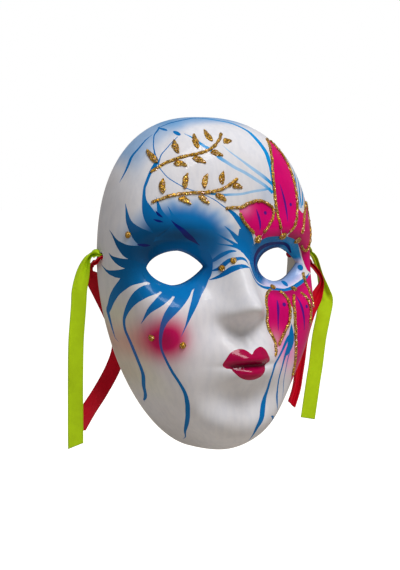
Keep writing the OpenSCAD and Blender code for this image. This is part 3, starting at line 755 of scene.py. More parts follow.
class Colours:
    """What the shell is painted with, at pattern points."""

    def __init__(self, settings):
        self.set = {name: np.array(getattr(settings, name)) for name in (
            "pearl", "raw", "blue", "navy", "cyan", "magenta", "lips", "lavender", "blush")}

    @staticmethod
    def mix(a, b, share):
        share = np.clip(share, 0, 1)[:, None]
        return a * (1 - share) + b * share

    def ground(self, u, v):
        s = self.set
        c = np.tile(s["pearl"], (len(u), 1))
        # airbrushed haze over and beside the left eye
        a = np.arctan2((v - 12) / 25, (u + 43) / 33)
        streaks = 0.07 * np.sin(13 * a + 1.3) + 0.05 * np.sin(29 * a + 0.4)
        d = ((u + 43) / np.where(u < -43, 25, 35)) ** 2 + ((v - 12) / 25) ** 2
        tone = self.mix(s["blue"] * np.ones_like(c), s["cyan"], smooth(0.6, 1.4, d))
        tone = self.mix(tone, s["blue"] * 0.3, 0.9 * bump(u, v, -46, 19, 25, 8))
        c = self.mix(c, tone, smooth(1.7, 0.5, d + streaks * smooth(0.5, 1.1, d) * (u > -50)))
        # cheek: a soft disc of blush
        d = np.hypot(u + 54, v + 48)
        c = self.mix(c, s["blush"], 0.97 * np.exp(-(d / 14) ** 3) + 0.12 * np.exp(-(d / 22) ** 2))
        c = self.mix(c, s["blush"] * 0.4, 0.4 * np.exp(-(d / 5.5) ** 2))
        haze = 0.75 * bump(u, v, 31, -56, 8, 11) + 0.4 * bump(u, v, 38, -64, 7, 10)
        c = self.mix(c, np.array(paint(238, 106, 184)), haze)
        c = self.mix(c, s["cyan"], 0.22 * bump(u, v, 22, 42, 8, 9))
        # blue fading inwards from the crown's rim
        r = reach(u, v)
        crown = smooth(0.91, 1.0, r) * (v > 0)
        c = self.mix(c, s["cyan"], 0.6 * crown * smooth(-66, -56, u) * smooth(-18, -32, u))
        c = self.mix(c, s["cyan"], 0.7 * smooth(0.93, 0.99, r) * (v > 0)
                     * smooth(-38, -24, u) * smooth(34, 16, u))
        # faint painted warm shade down the left edge of the cheek, by the rim
        edge = smooth(0.9, 1.0, r) * smooth(-16, -34, v) * smooth(-96, -72, v) * (u < 0)
        return self.mix(c, np.array(paint(206, 206, 150)), 0.35 * edge)

    def blue(self, u, v):
        s = self.set
        light = smooth(-24, 10, u) * smooth(30, 50, v)
        light = light + 0.25 * bump(u, v, -58, -8, 14, 10)
        c = self.mix(s["blue"] * np.ones((len(u), 3)), s["cyan"], light)
        c = self.mix(c, s["blue"] * 0.28, 0.85 * bump(u, v, -64, 6, 16, 20))
        c = self.mix(c, s["blue"] * 0.3, 0.9 * bump(u, v, -46, 19, 25, 8))
        c = self.mix(c, s["navy"], 0.45 * bump(u, v, -14, -4, 7, 8))
        # the blue is thin, so that the blush shines through it
        d = np.hypot(u + 54, v + 48)
        return self.mix(c, np.array(paint(96, 50, 140)), 0.75 * np.exp(-(d / 12) ** 2))

    def pale(self, u, v):
        s = self.set
        strong = 1 - smooth(-16, -2, u) * smooth(25, 17, u)
        return self.mix(np.array(paint(150, 188, 222)) * np.ones((len(u), 3)), s["cyan"], strong)

    def socket(self, u, v):
        s = self.set
        a = np.degrees(np.arctan2((v + 4) / 0.75, u - 38.3)) % 360
        c = self.mix(s["cyan"] * np.ones((len(u), 3)), s["blue"], smooth(60, 110, a))
        lower = np.maximum(smooth(214, 236, a), smooth(18, -8, a) * (a < 90)) * (a > 200) + smooth(16, 2, a)
        c = self.mix(c, s["lavender"], lower)
        d = ((u - 38.3) / 19) ** 2 + ((v + 4) / 11.5) ** 2
        ring = smooth(1.7, 1.05, d)
        c = self.mix(c, s["cyan"], 0.6 * ring * smooth(212, 240, a))
        return self.mix(c, s["navy"], 0.75 * ring * smooth(75, 105, a) * smooth(235, 195, a))

    def magenta(self, u, v):
        s = self.set
        c = s["magenta"] * np.ones((len(u), 3))
        # painted shade: the magenta darkens towards the eye hole, down in the socket
        d = ((u - 38.3) / 21) ** 2 + ((v + 4) / 18) ** 2
        c = self.mix(c, s["magenta"] * 0.5, 0.8 * smooth(1.7, 0.95, d))
        # painted highlight: a paler pink spot on the inner brow petal
        c = self.mix(c, np.array(paint(232, 120, 170)), 0.8 * bump(u, v, 3, 33.5, 6, 4.5))
        # painted highlight: a pale veil over a spot of the inner cheek petal
        return self.mix(c, s["pearl"], 0.3 * bump(u, v, 24, -52, 5, 6))

    def lips(self, u, v):
        s = self.set
        c = s["lips"] * np.ones((len(u), 3))
        line = np.exp(-((v + 66.2 - 0.6 * np.cos(u / 5)) / 1.9) ** 2) * smooth(16, 11, np.abs(u + 1.5))
        return self.mix(c, s["lips"] * 0.26, 0.9 * line)

    def of_faces(self, kinds, u, v):
        s = self.set
        out = np.empty((len(u), 3))
        plain = {NAVY: s["navy"], VIOLET: np.array(paint(84, 20, 128))}
        fields = {GROUND: self.ground, BLUE: self.blue, PALE: self.pale, SOCKET: self.socket,
                  MAGENTA: self.magenta, LIPS: self.lips}
        for kind in range(8):
            at = kinds == kind
            if kind in plain:
                out[at] = plain[kind]
            elif at.any():
                out[at] = fields[kind](u[at], v[at])
        return out


def build_shell():
    """The shell as one closed mesh whose corners carry the paint's colour."""
    sizes = bpy.context.scene.mask_shell
    form = Form(sizes)
    shapes = ornament(form)
    outer = Skin(form, False, sizes.mesh_step / MM, shapes)
    inner = Skin(form, True, 2 * sizes.mesh_step / MM, [])
    middle = outer.q[outer.faces].mean(1)
    kinds = np.full(len(middle), GROUND)
    for kind, outline in shapes:
        kinds[inside(middle, outline)] = kind

    places = [outer.places, inner.places]
    count = len(outer.places) + len(inner.places)
    faces = [outer.faces, inner.faces[:, ::-1] + len(outer.places)]
    # the rounded rim
    out_ring = outer.numbers(outer.rim)
    in_ring = inner.numbers(inner.rim) + len(outer.places)
    rows = rounded_rim(outer.places[out_ring], sizes.rim_round / MM, form.wall)
    last = out_ring
    for row in rows:
        here = np.arange(len(row)) + count
        places.append(row)
        count += len(row)
        faces.append(join_loops(last, here))
        last = here
    faces.append(join_loops(last, in_ring))
    # the cut faces of the eye holes and tie holes
    for a, b in list(zip(outer.eyes, inner.eyes)) + list(zip(outer.holes, inner.holes)):
        near = outer.numbers(a)
        far = inner.numbers(b)
        row = 0.6 * outer.places[near] + 0.4 * inner.places[far]
        here = np.arange(len(row)) + count
        places.append(row)
        count += len(row)
        faces.append(join_loops(here, near))
        faces.append(join_loops(far + len(outer.places), here))
    places = np.concatenate(places)
    faces = np.concatenate(faces)
    shell = add_mesh("shell", places, faces)

    # colours: the painted skin, the blue that ran over the eye holes' edges, the bare inside
    tones = Colours(bpy.context.scene.mask_paint)
    corner = faces.reshape(-1)
    part = np.repeat(np.arange(len(faces)) < len(outer.faces), 3)
    raw = np.array(bpy.context.scene.mask_paint.raw)
    colour_of = np.tile(raw, (len(corner), 1))
    gloss = np.zeros(len(corner))
    p = to_pattern(outer.q)
    painted = corner[part]
    kind = np.repeat(kinds, 3)
    colour_of[part] = tones.of_faces(kind, p[painted, 0], p[painted, 1])
    gloss[part] = np.choose(kind, PAINT_GLOSS)
    rest = places[corner[~part]]
    rim = rest[:, 1] > -RIM_DEPTH
    pearl = np.array(bpy.context.scene.mask_paint.pearl)
    side = colour_of[~part]
    side[rim] = tones.mix(np.tile(raw, (rim.sum(), 1)), pearl, np.full(rim.sum(), RIM_PEARL))
    u, v = rest[:, 0] / form.kx, rest[:, 2] / form.kz(rest[:, 2])
    for turn, kind in ((-1, BLUE), (1, SOCKET)):
        gap = np.hypot((rest[:, 0] - turn * form.eye_x) / form.eye_half,
                       (rest[:, 2] - form.eye_z) / form.lid_up)
        edge = smooth(1.5, 1.15, gap) * smooth(-14, -20, rest[:, 1])
        side = tones.mix(side, tones.of_faces(np.full(len(u), kind), u, v), edge)
    colour_of[~part] = side
    layer = shell.data.attributes.new("glaze", "FLOAT_COLOR", "CORNER")
    layer.data.foreach_set("color", np.concatenate(
        [colour_of, np.ones((len(corner), 1))], axis=1).astype(np.float32).reshape(-1))
    layer = shell.data.attributes.new("gloss", "FLOAT", "CORNER")
    layer.data.foreach_set("value", gloss.astype(np.float32))
    only(shell)
    bpy.ops.object.shade_smooth()
    return shell


# ---------------------------------------------------------------- materials


class Socket:
    """A shader output that can be used in plain arithmetic."""

    def __init__(self, made, out):
        self.made, self.out = made, out

    def sum(self, kind, *others):
        return self.made.node("ShaderNodeMath", {"operation": kind}, *((self,) + others))

    def __add__(self, other):
        return self.sum("ADD", other)

    def __sub__(self, other):
        return self.sum("SUBTRACT", other)

    def __mul__(self, other):
        return self.sum("MULTIPLY", other)

    def __truediv__(self, other):
        return self.sum("DIVIDE", other)

    def __radd__(self, other):
        return self.made.node("ShaderNodeMath", {"operation": "ADD"}, other, self)

    def __rsub__(self, other):
        return self.made.node("ShaderNodeMath", {"operation": "SUBTRACT"}, other, self)

    def __rmul__(self, other):
        return self.made.node("ShaderNodeMath", {"operation": "MULTIPLY"}, other, self)

    def __rtruediv__(self, other):
        return self.made.node("ShaderNodeMath", {"operation": "DIVIDE"}, other, self)

    def ramp(self, low, high, start=0.0, end=1.0):
        """Straight from start to end while the value goes from low to high, held outside."""
        return self.made.node("ShaderNodeMapRange", {"clamp": True}, self, low, high, start, end)


class Finish:
    """A material under construction."""

    def __init__(self, name):
        self.material = bpy.data.materials.new(name)
        self.material.use_nodes = True
        self.tree = self.material.node_tree
        self.body = next(n for n in self.tree.nodes if n.type == "BSDF_PRINCIPLED")

    def put(self, socket, value):
        if isinstance(value, Socket):
            self.tree.links.new(value.out, socket)
        elif hasattr(value, "__len__") and len(value) == 3 and socket.type == "RGBA":
            socket.default_value = tuple(value) + (1.0,)
        else:
            socket.default_value = value

    def node(self, kind, settings, *inputs, out=0, **named):
        """Any node: settings first, then its inputs in order, then inputs by name."""
        made = self.tree.nodes.new(kind)
        for key, value in settings.items():
            setattr(made, key, value)
        for socket, value in zip(made.inputs, inputs):
            if value is not None:
                self.put(socket, value)
        for key, value in named.items():
            self.put(made.inputs[key.replace("_", " ")], value)
        return Socket(self, made.outputs[out])

    def mix(self, share, a, b, way="MIX"):
        made = self.tree.nodes.new("ShaderNodeMix")
        made.data_type = "RGBA"
        made.blend_type = way
        self.put(made.inputs[0], share)
        self.put(made.inputs[6], a)
        self.put(made.inputs[7], b)
        return Socket(self, made.outputs[2])

    def place(self, stretch=(1.0, 1.0, 1.0)):
        """Object coordinates, multiplied by stretch."""
        here = self.node("ShaderNodeTexCoord", {}, out="Object")
        return self.node("ShaderNodeVectorMath", {"operation": "MULTIPLY"}, here, stretch)

    def noise(self, size, detail=2.0, rough=0.5, at=None):
        """Noise from 0 to 1 whose lumps are about size metres across."""
        at = at or self.place()
        return self.node("ShaderNodeTexNoise", {}, Vector=at, Scale=1.0 / size, Detail=detail,
                         Roughness=rough)

    def bump(self, height, rise, normal=None):
        """Normal from a height of 0 to 1 that stands for rise metres."""
        return self.node("ShaderNodeBump", {}, Strength=1.0, Distance=rise, Height=height,
                         **({"Normal": normal} if normal else {}))

    def set(self, **values):
        for key, value in values.items():
            self.put(self.body.inputs[key.replace("_", " ")], value)
        return self.material


def glaze_finish():
    """Painted and varnished cast shell: brush streaks, fine specks, soft satin gloss."""
    f = Finish("glazed shell")
    tone = f.node("ShaderNodeAttribute", {"attribute_name": "glaze"}, out="Color")
    gloss = f.node("ShaderNodeAttribute", {"attribute_name": "gloss"}, out="Fac")
    cloud = f.noise(0.021, 3.0)
    grain = f.noise(0.0016, 4.0, 0.65)
    streak = f.noise(0.0035, 2.0, 0.5, f.place((1.0, 1.0, 0.25)))
    tone = f.mix(cloud.ramp(0.35, 0.7, 0.0, 0.5), tone, (0.9, 0.87, 0.84), "MULTIPLY")
    tone = f.mix(streak.ramp(0.4, 0.75) * gloss, tone, (0.84, 0.86, 0.9), "MULTIPLY")
    tone = f.mix(grain.ramp(0.62, 0.8, 0.0, 0.4), tone, (0.72, 0.72, 0.74), "MULTIPLY")
    rough = gloss.ramp(0.0, 1.0, 0.75, 0.22) + grain.ramp(0.3, 0.7, -0.04, 0.05)
    normal = f.bump(cloud, 0.00035, f.bump(grain, 0.00004, f.bump(streak, 0.00003)))
    return f.set(Base_Color=tone, Roughness=rough, Normal=normal, Coat_Weight=gloss * 0.3,
                 Coat_Roughness=0.1, Specular_IOR_Level=0.05)


def glitter_finish():
    """Gold glitter glue: small flakes that each face their own way, with painted glints and painted shade
    picked at random for their colours.
    """
    sizes = bpy.context.scene.mask_trim
    f = Finish("gold glitter")
    at = f.place()
    flakes = f.tree.nodes.new("ShaderNodeTexVoronoi")
    f.put(flakes.inputs["Vector"], at)
    f.put(flakes.inputs["Scale"], 1.0 / 0.00046)
    chance = Socket(f, flakes.outputs["Color"])
    parts = f.tree.nodes.new("ShaderNodeSeparateColor")
    f.put(parts.inputs[0], chance)
    one, two, three = (Socket(f, o) for o in parts.outputs)
    # each flake's colour is picked at random: painted shade, the gold, and a painted glint on some
    tone = f.mix(one.ramp(0.1, 0.6), sizes.dark, sizes.gold)
    tone = f.mix(two.ramp(0.66, 0.86), tone, sizes.painted_glint)
    tone = f.mix(three.ramp(0.9, 0.95, 0.0, 0.5), tone, paint(214, 190, 220))
    tilt = f.node("ShaderNodeVectorMath", {"operation": "SUBTRACT"}, chance, (0.5, 0.5, 0.5))
    tilt = f.node("ShaderNodeVectorMath", {"operation": "SCALE"}, tilt, Scale=1.5)
    facing = f.node("ShaderNodeNewGeometry", {}, out="Normal")
    turned = f.node("ShaderNodeVectorMath", {"operation": "ADD"}, facing, tilt)
    turned = f.node("ShaderNodeVectorMath", {"operation": "NORMALIZE"}, turned)
    return f.set(Base_Color=tone, Metallic=two.ramp(0.2, 0.5, 0.55, 0.95),
                 Roughness=one.ramp(0.0, 1.0, 0.24, 0.5), Normal=turned)


def satin_finish(name, tone):
    """Woven satin: fine ribs across the ribbon, darker raised selvedges and a soft sheen; its colour
    carries painted sheen and painted shade on the ribs and painted shade in the creases.
    """
    f = Finish(name)
    uv = f.node("ShaderNodeUVMap", {"uv_map": "UVMap"})
    parts = f.tree.nodes.new("ShaderNodeSeparateXYZ")
    f.put(parts.inputs[0], uv)
    across, along = Socket(f, parts.outputs[0]), Socket(f, parts.outputs[1])
    weave = f.node("ShaderNodeMath", {"operation": "SINE"}, along * (2 * math.pi / 0.00055))
    weft = f.node("ShaderNodeMath", {"operation": "SINE"}, across * (2 * math.pi / 0.0004))
    crease = f.noise(0.006, 3.0, 0.6)
    middle = f.node("ShaderNodeMath", {"operation": "ABSOLUTE"}, across - 0.005)
    selvedge = middle.ramp(0.0041, 0.0045)
    # a darker and a lighter copy of the satin's colour: painted shade, also the selvedges' darker tone, and
    # painted sheen
    painted_shade_and_selvedge_tone = tuple(0.72 * c for c in tone)
    light = tuple(min(1.0, c * 1.15 + 0.02) for c in tone)
    # painted shade in the hollows of the creases
    c = f.mix(crease.ramp(0.3, 0.7, 0.6, 1.0), painted_shade_and_selvedge_tone, tone)
    # painted sheen along the ribs one way and painted shade along them the other way
    c = f.mix(weave.ramp(-1.0, 1.0, 0.0, 0.14), c, light)
    c = f.mix(weft.ramp(-1.0, 1.0, 0.0, 0.08), c, painted_shade_and_selvedge_tone)
    c = f.mix(selvedge * 0.5, c, painted_shade_and_selvedge_tone)
    height = weave * 0.3 + weft * 0.15 + selvedge * 1.2
    normal = f.bump(height, 0.00004, f.bump(crease, 0.00015))
    return f.set(Base_Color=c, Roughness=crease.ramp(0.2, 0.8, 0.36, 0.56), Normal=normal,
                 Specular_IOR_Level=0.14)


# ---------------------------------------------------------------- the glitter trim

# The lines and drops repeat part.scad's. The petals' lines run along lines that another program printed,
# and the drops and dots sit at places it printed, rounded. The sprig's stems and leaves aren't among them.
BROW_INNER = [[(-11, 34), (-5, 34.5), (1, 34.5), (7, 37), (14, 38.5), (21, 37), (25.5, 33), (25, 27.5),
               (21, 22), (17.6, 17.6)],
              [(0, 31.2), (2, 26.5), (6, 21.8), (10.6, 17.4)]]
BROW_MIDDLE = [[(35, 79), (31.5, 70), (29, 60), (28, 50), (28, 40), (29, 29), (31.2, 19.4)],
               [(38, 77.5), (43.5, 69), (47, 59), (48.5, 48), (48.5, 37), (46, 27), (42.5, 20.6),
                (39, 17.6)]]
BROW_OUTER = [[(61, 37), (57, 31), (54, 24.5), (52, 16)],
              [(64.5, 37), (68, 29), (69, 20), (66.5, 11), (62.5, 4), (57, 8)]]
CHEEK_INNER = [[(26.8, -19.6), (22, -22.5), (18.8, -28), (18.4, -36), (20, -45), (22.6, -54), (21, -62)],
               [(33.4, -20.8), (36.6, -25), (37.2, -32), (36, -40), (31.5, -48), (25.6, -55.2)]]
CHEEK_OUTER = [[(43, -23.4), (40.8, -28), (40.4, -35), (40.4, -44), (41, -54), (42, -66), (41.5, -77)],
               [(49.4, -22.2), (53, -26.5), (55, -33), (54.6, -43)]]
RIM_PETAL = [[(60, -10), (58.6, -17), (58.6, -25), (60.4, -33)]]
STEMS = [[(-58, 38), (-47, 42.5), (-35, 44), (-23, 44.5), (-11, 47), (0, 53)],
         [(-55, 57), (-46, 63), (-35, 67), (-23, 69.5), (-12, 74), (-3, 82)]]
# Leaves of the sprig: base, direction in degrees, length
LEAVES = [(-51, 43.6, 80, 10), (-43, 40.6, -25, 9), (-38, 46.4, 72, 11), (-30, 41.8, -35, 9),
          (-25, 46.9, 70, 10), (-18, 42.8, -30, 9), (-12, 49.2, 78, 9), (-5, 47.6, -5, 8),
          (-50, 62.8, 95, 9), (-42, 62.4, -10, 8), (-37, 69, 82, 9), (-30, 65.8, -20, 9),
          (-24, 71.8, 80, 10), (-17, 69.6, -15, 9), (-12.5, 76.6, 100, 8), (-5, 75.6, 10, 7)]
# Drops where the petals meet the eye: place, diameter, height
PETAL_DROPS = [(14, 13.6, 5.6, 1.5), (34.6, 15, 6, 1.5), (51, 11.6, 5.6, 1.5), (30, -18.4, 4.4, 1.3),
               (46, -20, 4.4, 1.3)]
SINGLE_DOTS = [(-69.5, 17.5), (-60.5, -47.5), (-44.5, -52), (-12, -4.5), (-5.5, 0.5)]


def leaf_line(u, v, turn, long):
    """Stroke of a leaf that swells and bends between its base and its tip."""
    a = math.radians(turn)
    t = np.linspace(0, 1, 7)
    bow = 0.9 * np.sin(math.pi * t)
    wide = 0.7 + 3.6 * np.sin(math.pi * t ** 0.8)
    return np.stack([u + long * t * math.cos(a) - bow * math.sin(a),
                     v + long * t * math.sin(a) + bow * math.cos(a), wide], -1)


BEAD_STEP = 0.55  # spacing of a bead's sections, in mm
DROP_SIDES = 24


class Glue:
    """Raised lumpy lines and drops on the outer skin, gathered into one mesh."""

    def __init__(self, form, height, seed):
        self.form, self.height = form, height
        self.chance = np.random.default_rng(seed)
        self.places, self.faces, self.count = [], [], 0

    def base(self, p):
        """Places and normals of the outer skin at pattern points."""
        q = to_disc(clamp_to_rim(p))
        return self.form.skin(q), self.form.normals(q)

    def wobble(self, count, size, span):
        """Smooth random lumps along a line."""
        knots = self.chance.normal(0, size, int(count / span) + 4)
        return np.interp(np.arange(count), np.arange(len(knots)) * span, knots)

    def add(self, rows):
        """Closed body through rings of places; the ends are closed by fans."""
        k = len(rows[0])
        start = self.count
        grid = np.concatenate(rows)
        i = np.arange(k)
        j = (i + 1) % k
        for n in range(len(rows) - 1):
            a, b = start + n * k, start + (n + 1) * k
            self.faces += [np.stack([a + i, a + j, b + j], -1), np.stack([a + i, b + j, b + i], -1)]
        ends = np.stack([rows[0].mean(0), rows[-1].mean(0)])
        first, last = start + len(grid), start + len(grid) + 1
        self.faces.append(np.stack([np.full(k, first), start + j, start + i], -1))
        far = start + (len(rows) - 1) * k
        self.faces.append(np.stack([np.full(k, last), far + i, far + j], -1))
        self.places += [grid, ends]
        self.count += len(grid) + 2

    def line(self, points, width=None):
        p = np.array(points, float)
        if p.shape[1] == 2:
            p = np.column_stack([p, np.full(len(p), width)])
        p = even_path(spline(p), BEAD_STEP)
        n = len(p)
        c, up = self.base(p[:, :2])
        way = np.gradient(c, axis=0)
        side = np.cross(up, way)
        side /= np.linalg.norm(side, axis=1, keepdims=True)
        c = c + side * self.wobble(n, 0.12, 3)[:, None]
        ends = np.minimum(np.arange(n), np.arange(n)[::-1]) * BEAD_STEP
        taper = np.sqrt(np.clip(1 - (1 - np.minimum(ends / 0.9, 1)) ** 2, 0.04, 1))
        half = (p[:, 2] / 2 + self.wobble(n, 0.13, 2)) * taper
        high = (self.height + self.wobble(n, 0.14, 2)) * taper
        ring = [(math.cos(a), math.sin(a)) for a in np.linspace(0, math.pi, 9)]
        ring += [(-0.7, -0.3), (0.7, -0.3)]
        rows = []
        for k in range(n):
            lump = 1 + self.chance.normal(0, 0.05, len(ring))
            rows.append(np.array([
                c[k] + side[k] * half[k] * x * m + up[k] * high[k] * (y * m if y > 0 else y)
                for (x, y), m in zip(ring, lump)]))
        self.add(rows)

    def drop(self, u, v, wide, high):
        c, up = self.base(np.array([[u, v]]))
        c, up = c[0], up[0]
        side = np.cross(up, (0, 0, 1.0))
        side /= np.linalg.norm(side)
        top = np.cross(side, up)
        turns = np.linspace(0, 2 * math.pi, DROP_SIDES + 1)[:-1]
        edge = 1 + 0.05 * np.sin(3 * turns + self.chance.uniform(0, 6))
        edge = edge + self.chance.normal(0, 0.02, DROP_SIDES)
        rows = [np.array([c - up * 0.4 + (side * math.cos(a) + top * math.sin(a)) * wide * 0.42
                          for a in turns])]
        for b in np.linspace(0, 1.45, 7):
            lump = self.chance.normal(0, 0.03, DROP_SIDES)
            rows.append(np.array([
                c + up * high * (math.sin(b) + m) + (side * math.cos(a) + top * math.sin(a))
                * wide / 2 * math.cos(b) * e for a, m, e in zip(turns, lump, edge)]))
        self.add(rows)

    def finish(self, node, material):
        piece = add_mesh(node + "_glitter", np.concatenate(self.places), np.concatenate(self.faces))
        face_out(piece)
        piece.data.materials.append(material)
        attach(piece, "mask")
        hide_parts(node)
        return piece


def glitter_piece(node, lines=(), drops=()):
    """One node's glitter glue: lines of an even width, strokes with their own widths, drops."""
    sizes = bpy.context.scene.mask_trim
    form = Form(bpy.context.scene.mask_shell)
    glue = Glue(form, sizes.line_height / MM, seed=sum(ord(c) for c in node))
    for points in lines:
        glue.line(points, sizes.line_width / MM)
    for u, v, wide, high in drops:
        glue.drop(u, v, wide, high)
    material = bpy.data.materials.get("gold glitter") or glitter_finish()
    return glue.finish(node, material)


# ---------------------------------------------------------------- ribbons and knots

HINGE_SIDE = {"left": -1, "right": 1}
RIBBON_COLUMNS = 17
RIBBON_STEP = 0.8  # spacing of a ribbon's rows, in mm
KNOT_STEPS = 96
KNOT_STRAND = 1.65  # radius of the gathered satin in a knot, in mm
TIE_GAP = 0.5  # clearance between knots and wall, and between the two knots, in mm
PAIR_TURN = math.radians(50)  # turn of each pair of knots about the hole's axis
RIBBON_FACE = np.array([-0.515, -0.857, 0.0])  # way that the ribbons' broad sides face
# Routes from the knot through the hole and over the rim, as out from the temple, back from the rim, up from
# the hole, and the share of the width that isn't gathered, in mm. Below the rim, many of these points or
# their heights are values that another program printed.
LEFT_LIME = [(-5, -5.7, 0.7, 0.16), (-2, -5.6, 0.7, 0.16), (0.8, -5.6, 0.9, 0.18), (1.8, -4.6, 1.6, 0.5),
             (2.6, -2, 1.6, 0.5), (3.3, -0.4, 1, 0.28), (4, 0.4, 0.2, 0.28), (6, 1.6, -3, 0.5),
             (8.1, 2.6, -10.4, 0.85), (10.7, 3, -22, 1), (11.5, 3, -33, 1), (13.4, 3, -56, 1),
             (13.9, 3, -79, 1), (14, 3, -102.5, 1), (14, 3, -125.5, 1)]
LEFT_RED = [(-5, -7.3, -0.7, 0.16), (-2, -7.4, -0.7, 0.16), (0.8, -7.1, -0.9, 0.18),
            (2.4, -4.6, -3.8, 0.28), (2.7, -2.2, -4.4, 0.28), (2.2, -0.5, -4.8, 0.28),
            (2.3, 0.4, -5.6, 0.28), (2.6, 2.2, -7.2, 0.36), (2, 4.8, -10, 0.6), (-2, 8, -15.2, 1),
            (-8.8, 11, -25.5, 1), (-17, 13, -39, 1), (-23.4, 14, -52, 1), (-24.2, 14, -63.8, 1),
            (-18.4, 13, -76.7, 1), (-8.3, 11, -90.4, 1), (1, 9, -101, 1),
            (9, 8, -112, 1), (12, 7.5, -117, 1)]
RIGHT_LIME = [(-5, -5.7, 0.7, 0.16), (-2, -5.6, 0.7, 0.16), (0.8, -5.6, 0.9, 0.18), (2.5, -5.4, 1.6, 0.5),
              (6, -4.4, 1.2, 0.6), (11, -2.6, 0.2, 0.45), (14.5, -0.6, -1.6, 0.28), (15, -0.1, -2.1, 0.28),
              (20, 1.2, -6.7, 0.36), (25.5, 3, -18, 0.4), (30, 4, -30, 0.8), (31.3, 4, -37, 1),
              (28.8, 4, -49, 1), (25.6, 4, -63, 1), (23, 4, -81, 1), (20.7, 4, -93.3, 1),
              (16.4, 4, -118.5, 1)]
RIGHT_RED = [(-5, -7.3, -0.7, 0.16), (-2, -7.4, -0.7, 0.16), (0.8, -7.1, -0.9, 0.18),
             (2.5, -5.4, -4.2, 0.28), (6, -4.6, -5.6, 0.36), (11, -3, -7.5, 0.36), (14.5, -0.8, -9.5, 0.28),
             (15, -0.4, -10, 0.28), (20, -1, -15, 0.3), (24.2, -1, -22.5, 0.3), (20.7, 0, -33, 0.8),
             (14.8, 1, -44.6, 0.9), (10.2, 1.5, -60.6, 0.8), (8.2, 1.5, -76.5, 0.7), (7, 1.5, -86, 0.62),
             (5, 1.5, -97, 0.6), (0.5, 1.5, -109, 0.6)]


def ribbon(name, side, route, cut, material):
    """A satin ribbon: gathered where it passes the hole, flat and hanging below, cut aslant."""
    sizes = bpy.context.scene.mask_ribbons
    shell = bpy.context.scene.mask_shell
    points = np.array(route, float)
    points[:, 0] = side * (shell.half_width / MM + points[:, 0])
    points[:, 2] += shell.hole_up / MM
    line = spline(points, 12)
    along = np.concatenate([[0], np.cumsum(np.linalg.norm(np.diff(line[:, :3], axis=0), axis=1))])
    long = along[-1]
    tangent = np.gradient(line[:, :3], axis=0)
    tangent /= np.linalg.norm(tangent, axis=1, keepdims=True)
    across = np.cross(RIBBON_FACE, tangent)
    across /= np.linalg.norm(across, axis=1, keepdims=True)
    out = np.cross(across, tangent)

    def at(values, s):
        return np.stack([np.interp(s, along, values[:, k]) for k in range(values.shape[1])], -1)

    x = np.linspace(-1, 1, RIBBON_COLUMNS)
    rows = int(long / RIBBON_STEP)
    half = sizes.width / MM / 2
    grid, coords = [], []
    for s in np.linspace(0, long, rows):
        here = s - abs(cut) * (0.5 + 0.5 * math.copysign(1, cut) * x) * smooth(long - 16, long, s)
        c = at(line, here)
        w = c[:, 3]
        gather = np.sqrt(np.maximum(1 - w ** 2, 0))
        pleat = np.minimum(0.3 * half, 0.7 + 3.2 * w) * gather * np.sin(1.5 * math.pi * x + 0.4)
        curl = 0.35 * (x ** 2 - 0.4) * smooth(15, 40, s) * np.sin(2 * math.pi * s / 71)
        twist = 0.5 * x * np.sin(2 * math.pi * s / 53 + side) * smooth(20, 45, s)
        grid.append(c[:, :3] + at(across, here) * (x * w * half)[:, None]
                    + at(out, here) * (pleat + curl + twist)[:, None])
        coords.append(np.stack([(x + 1) / 2 * sizes.width, here * MM], -1))
    places, coords = np.concatenate(grid), np.concatenate(coords)
    n = np.arange(rows - 1)[:, None] * RIBBON_COLUMNS + np.arange(RIBBON_COLUMNS - 1)
    n = n.reshape(-1)
    faces = np.stack([n, n + 1, n + RIBBON_COLUMNS + 1, n + RIBBON_COLUMNS], -1)
    piece = add_mesh(name + "_satin", places, faces)
    uv = piece.data.uv_layers.new(name="UVMap")
    uv.data.foreach_set("uv", coords[faces.reshape(-1)].reshape(-1))
    only(piece)
    bpy.ops.object.modifier_add(type="SOLIDIFY")
    piece.modifiers[0].thickness = sizes.thick
    piece.modifiers[0].offset = 0.0
    bpy.ops.object.modifier_apply(modifier=piece.modifiers[0].name)
    face_out(piece)
    piece.data.materials.append(material)
    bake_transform(piece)
    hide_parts(name + "_tie")
    return piece


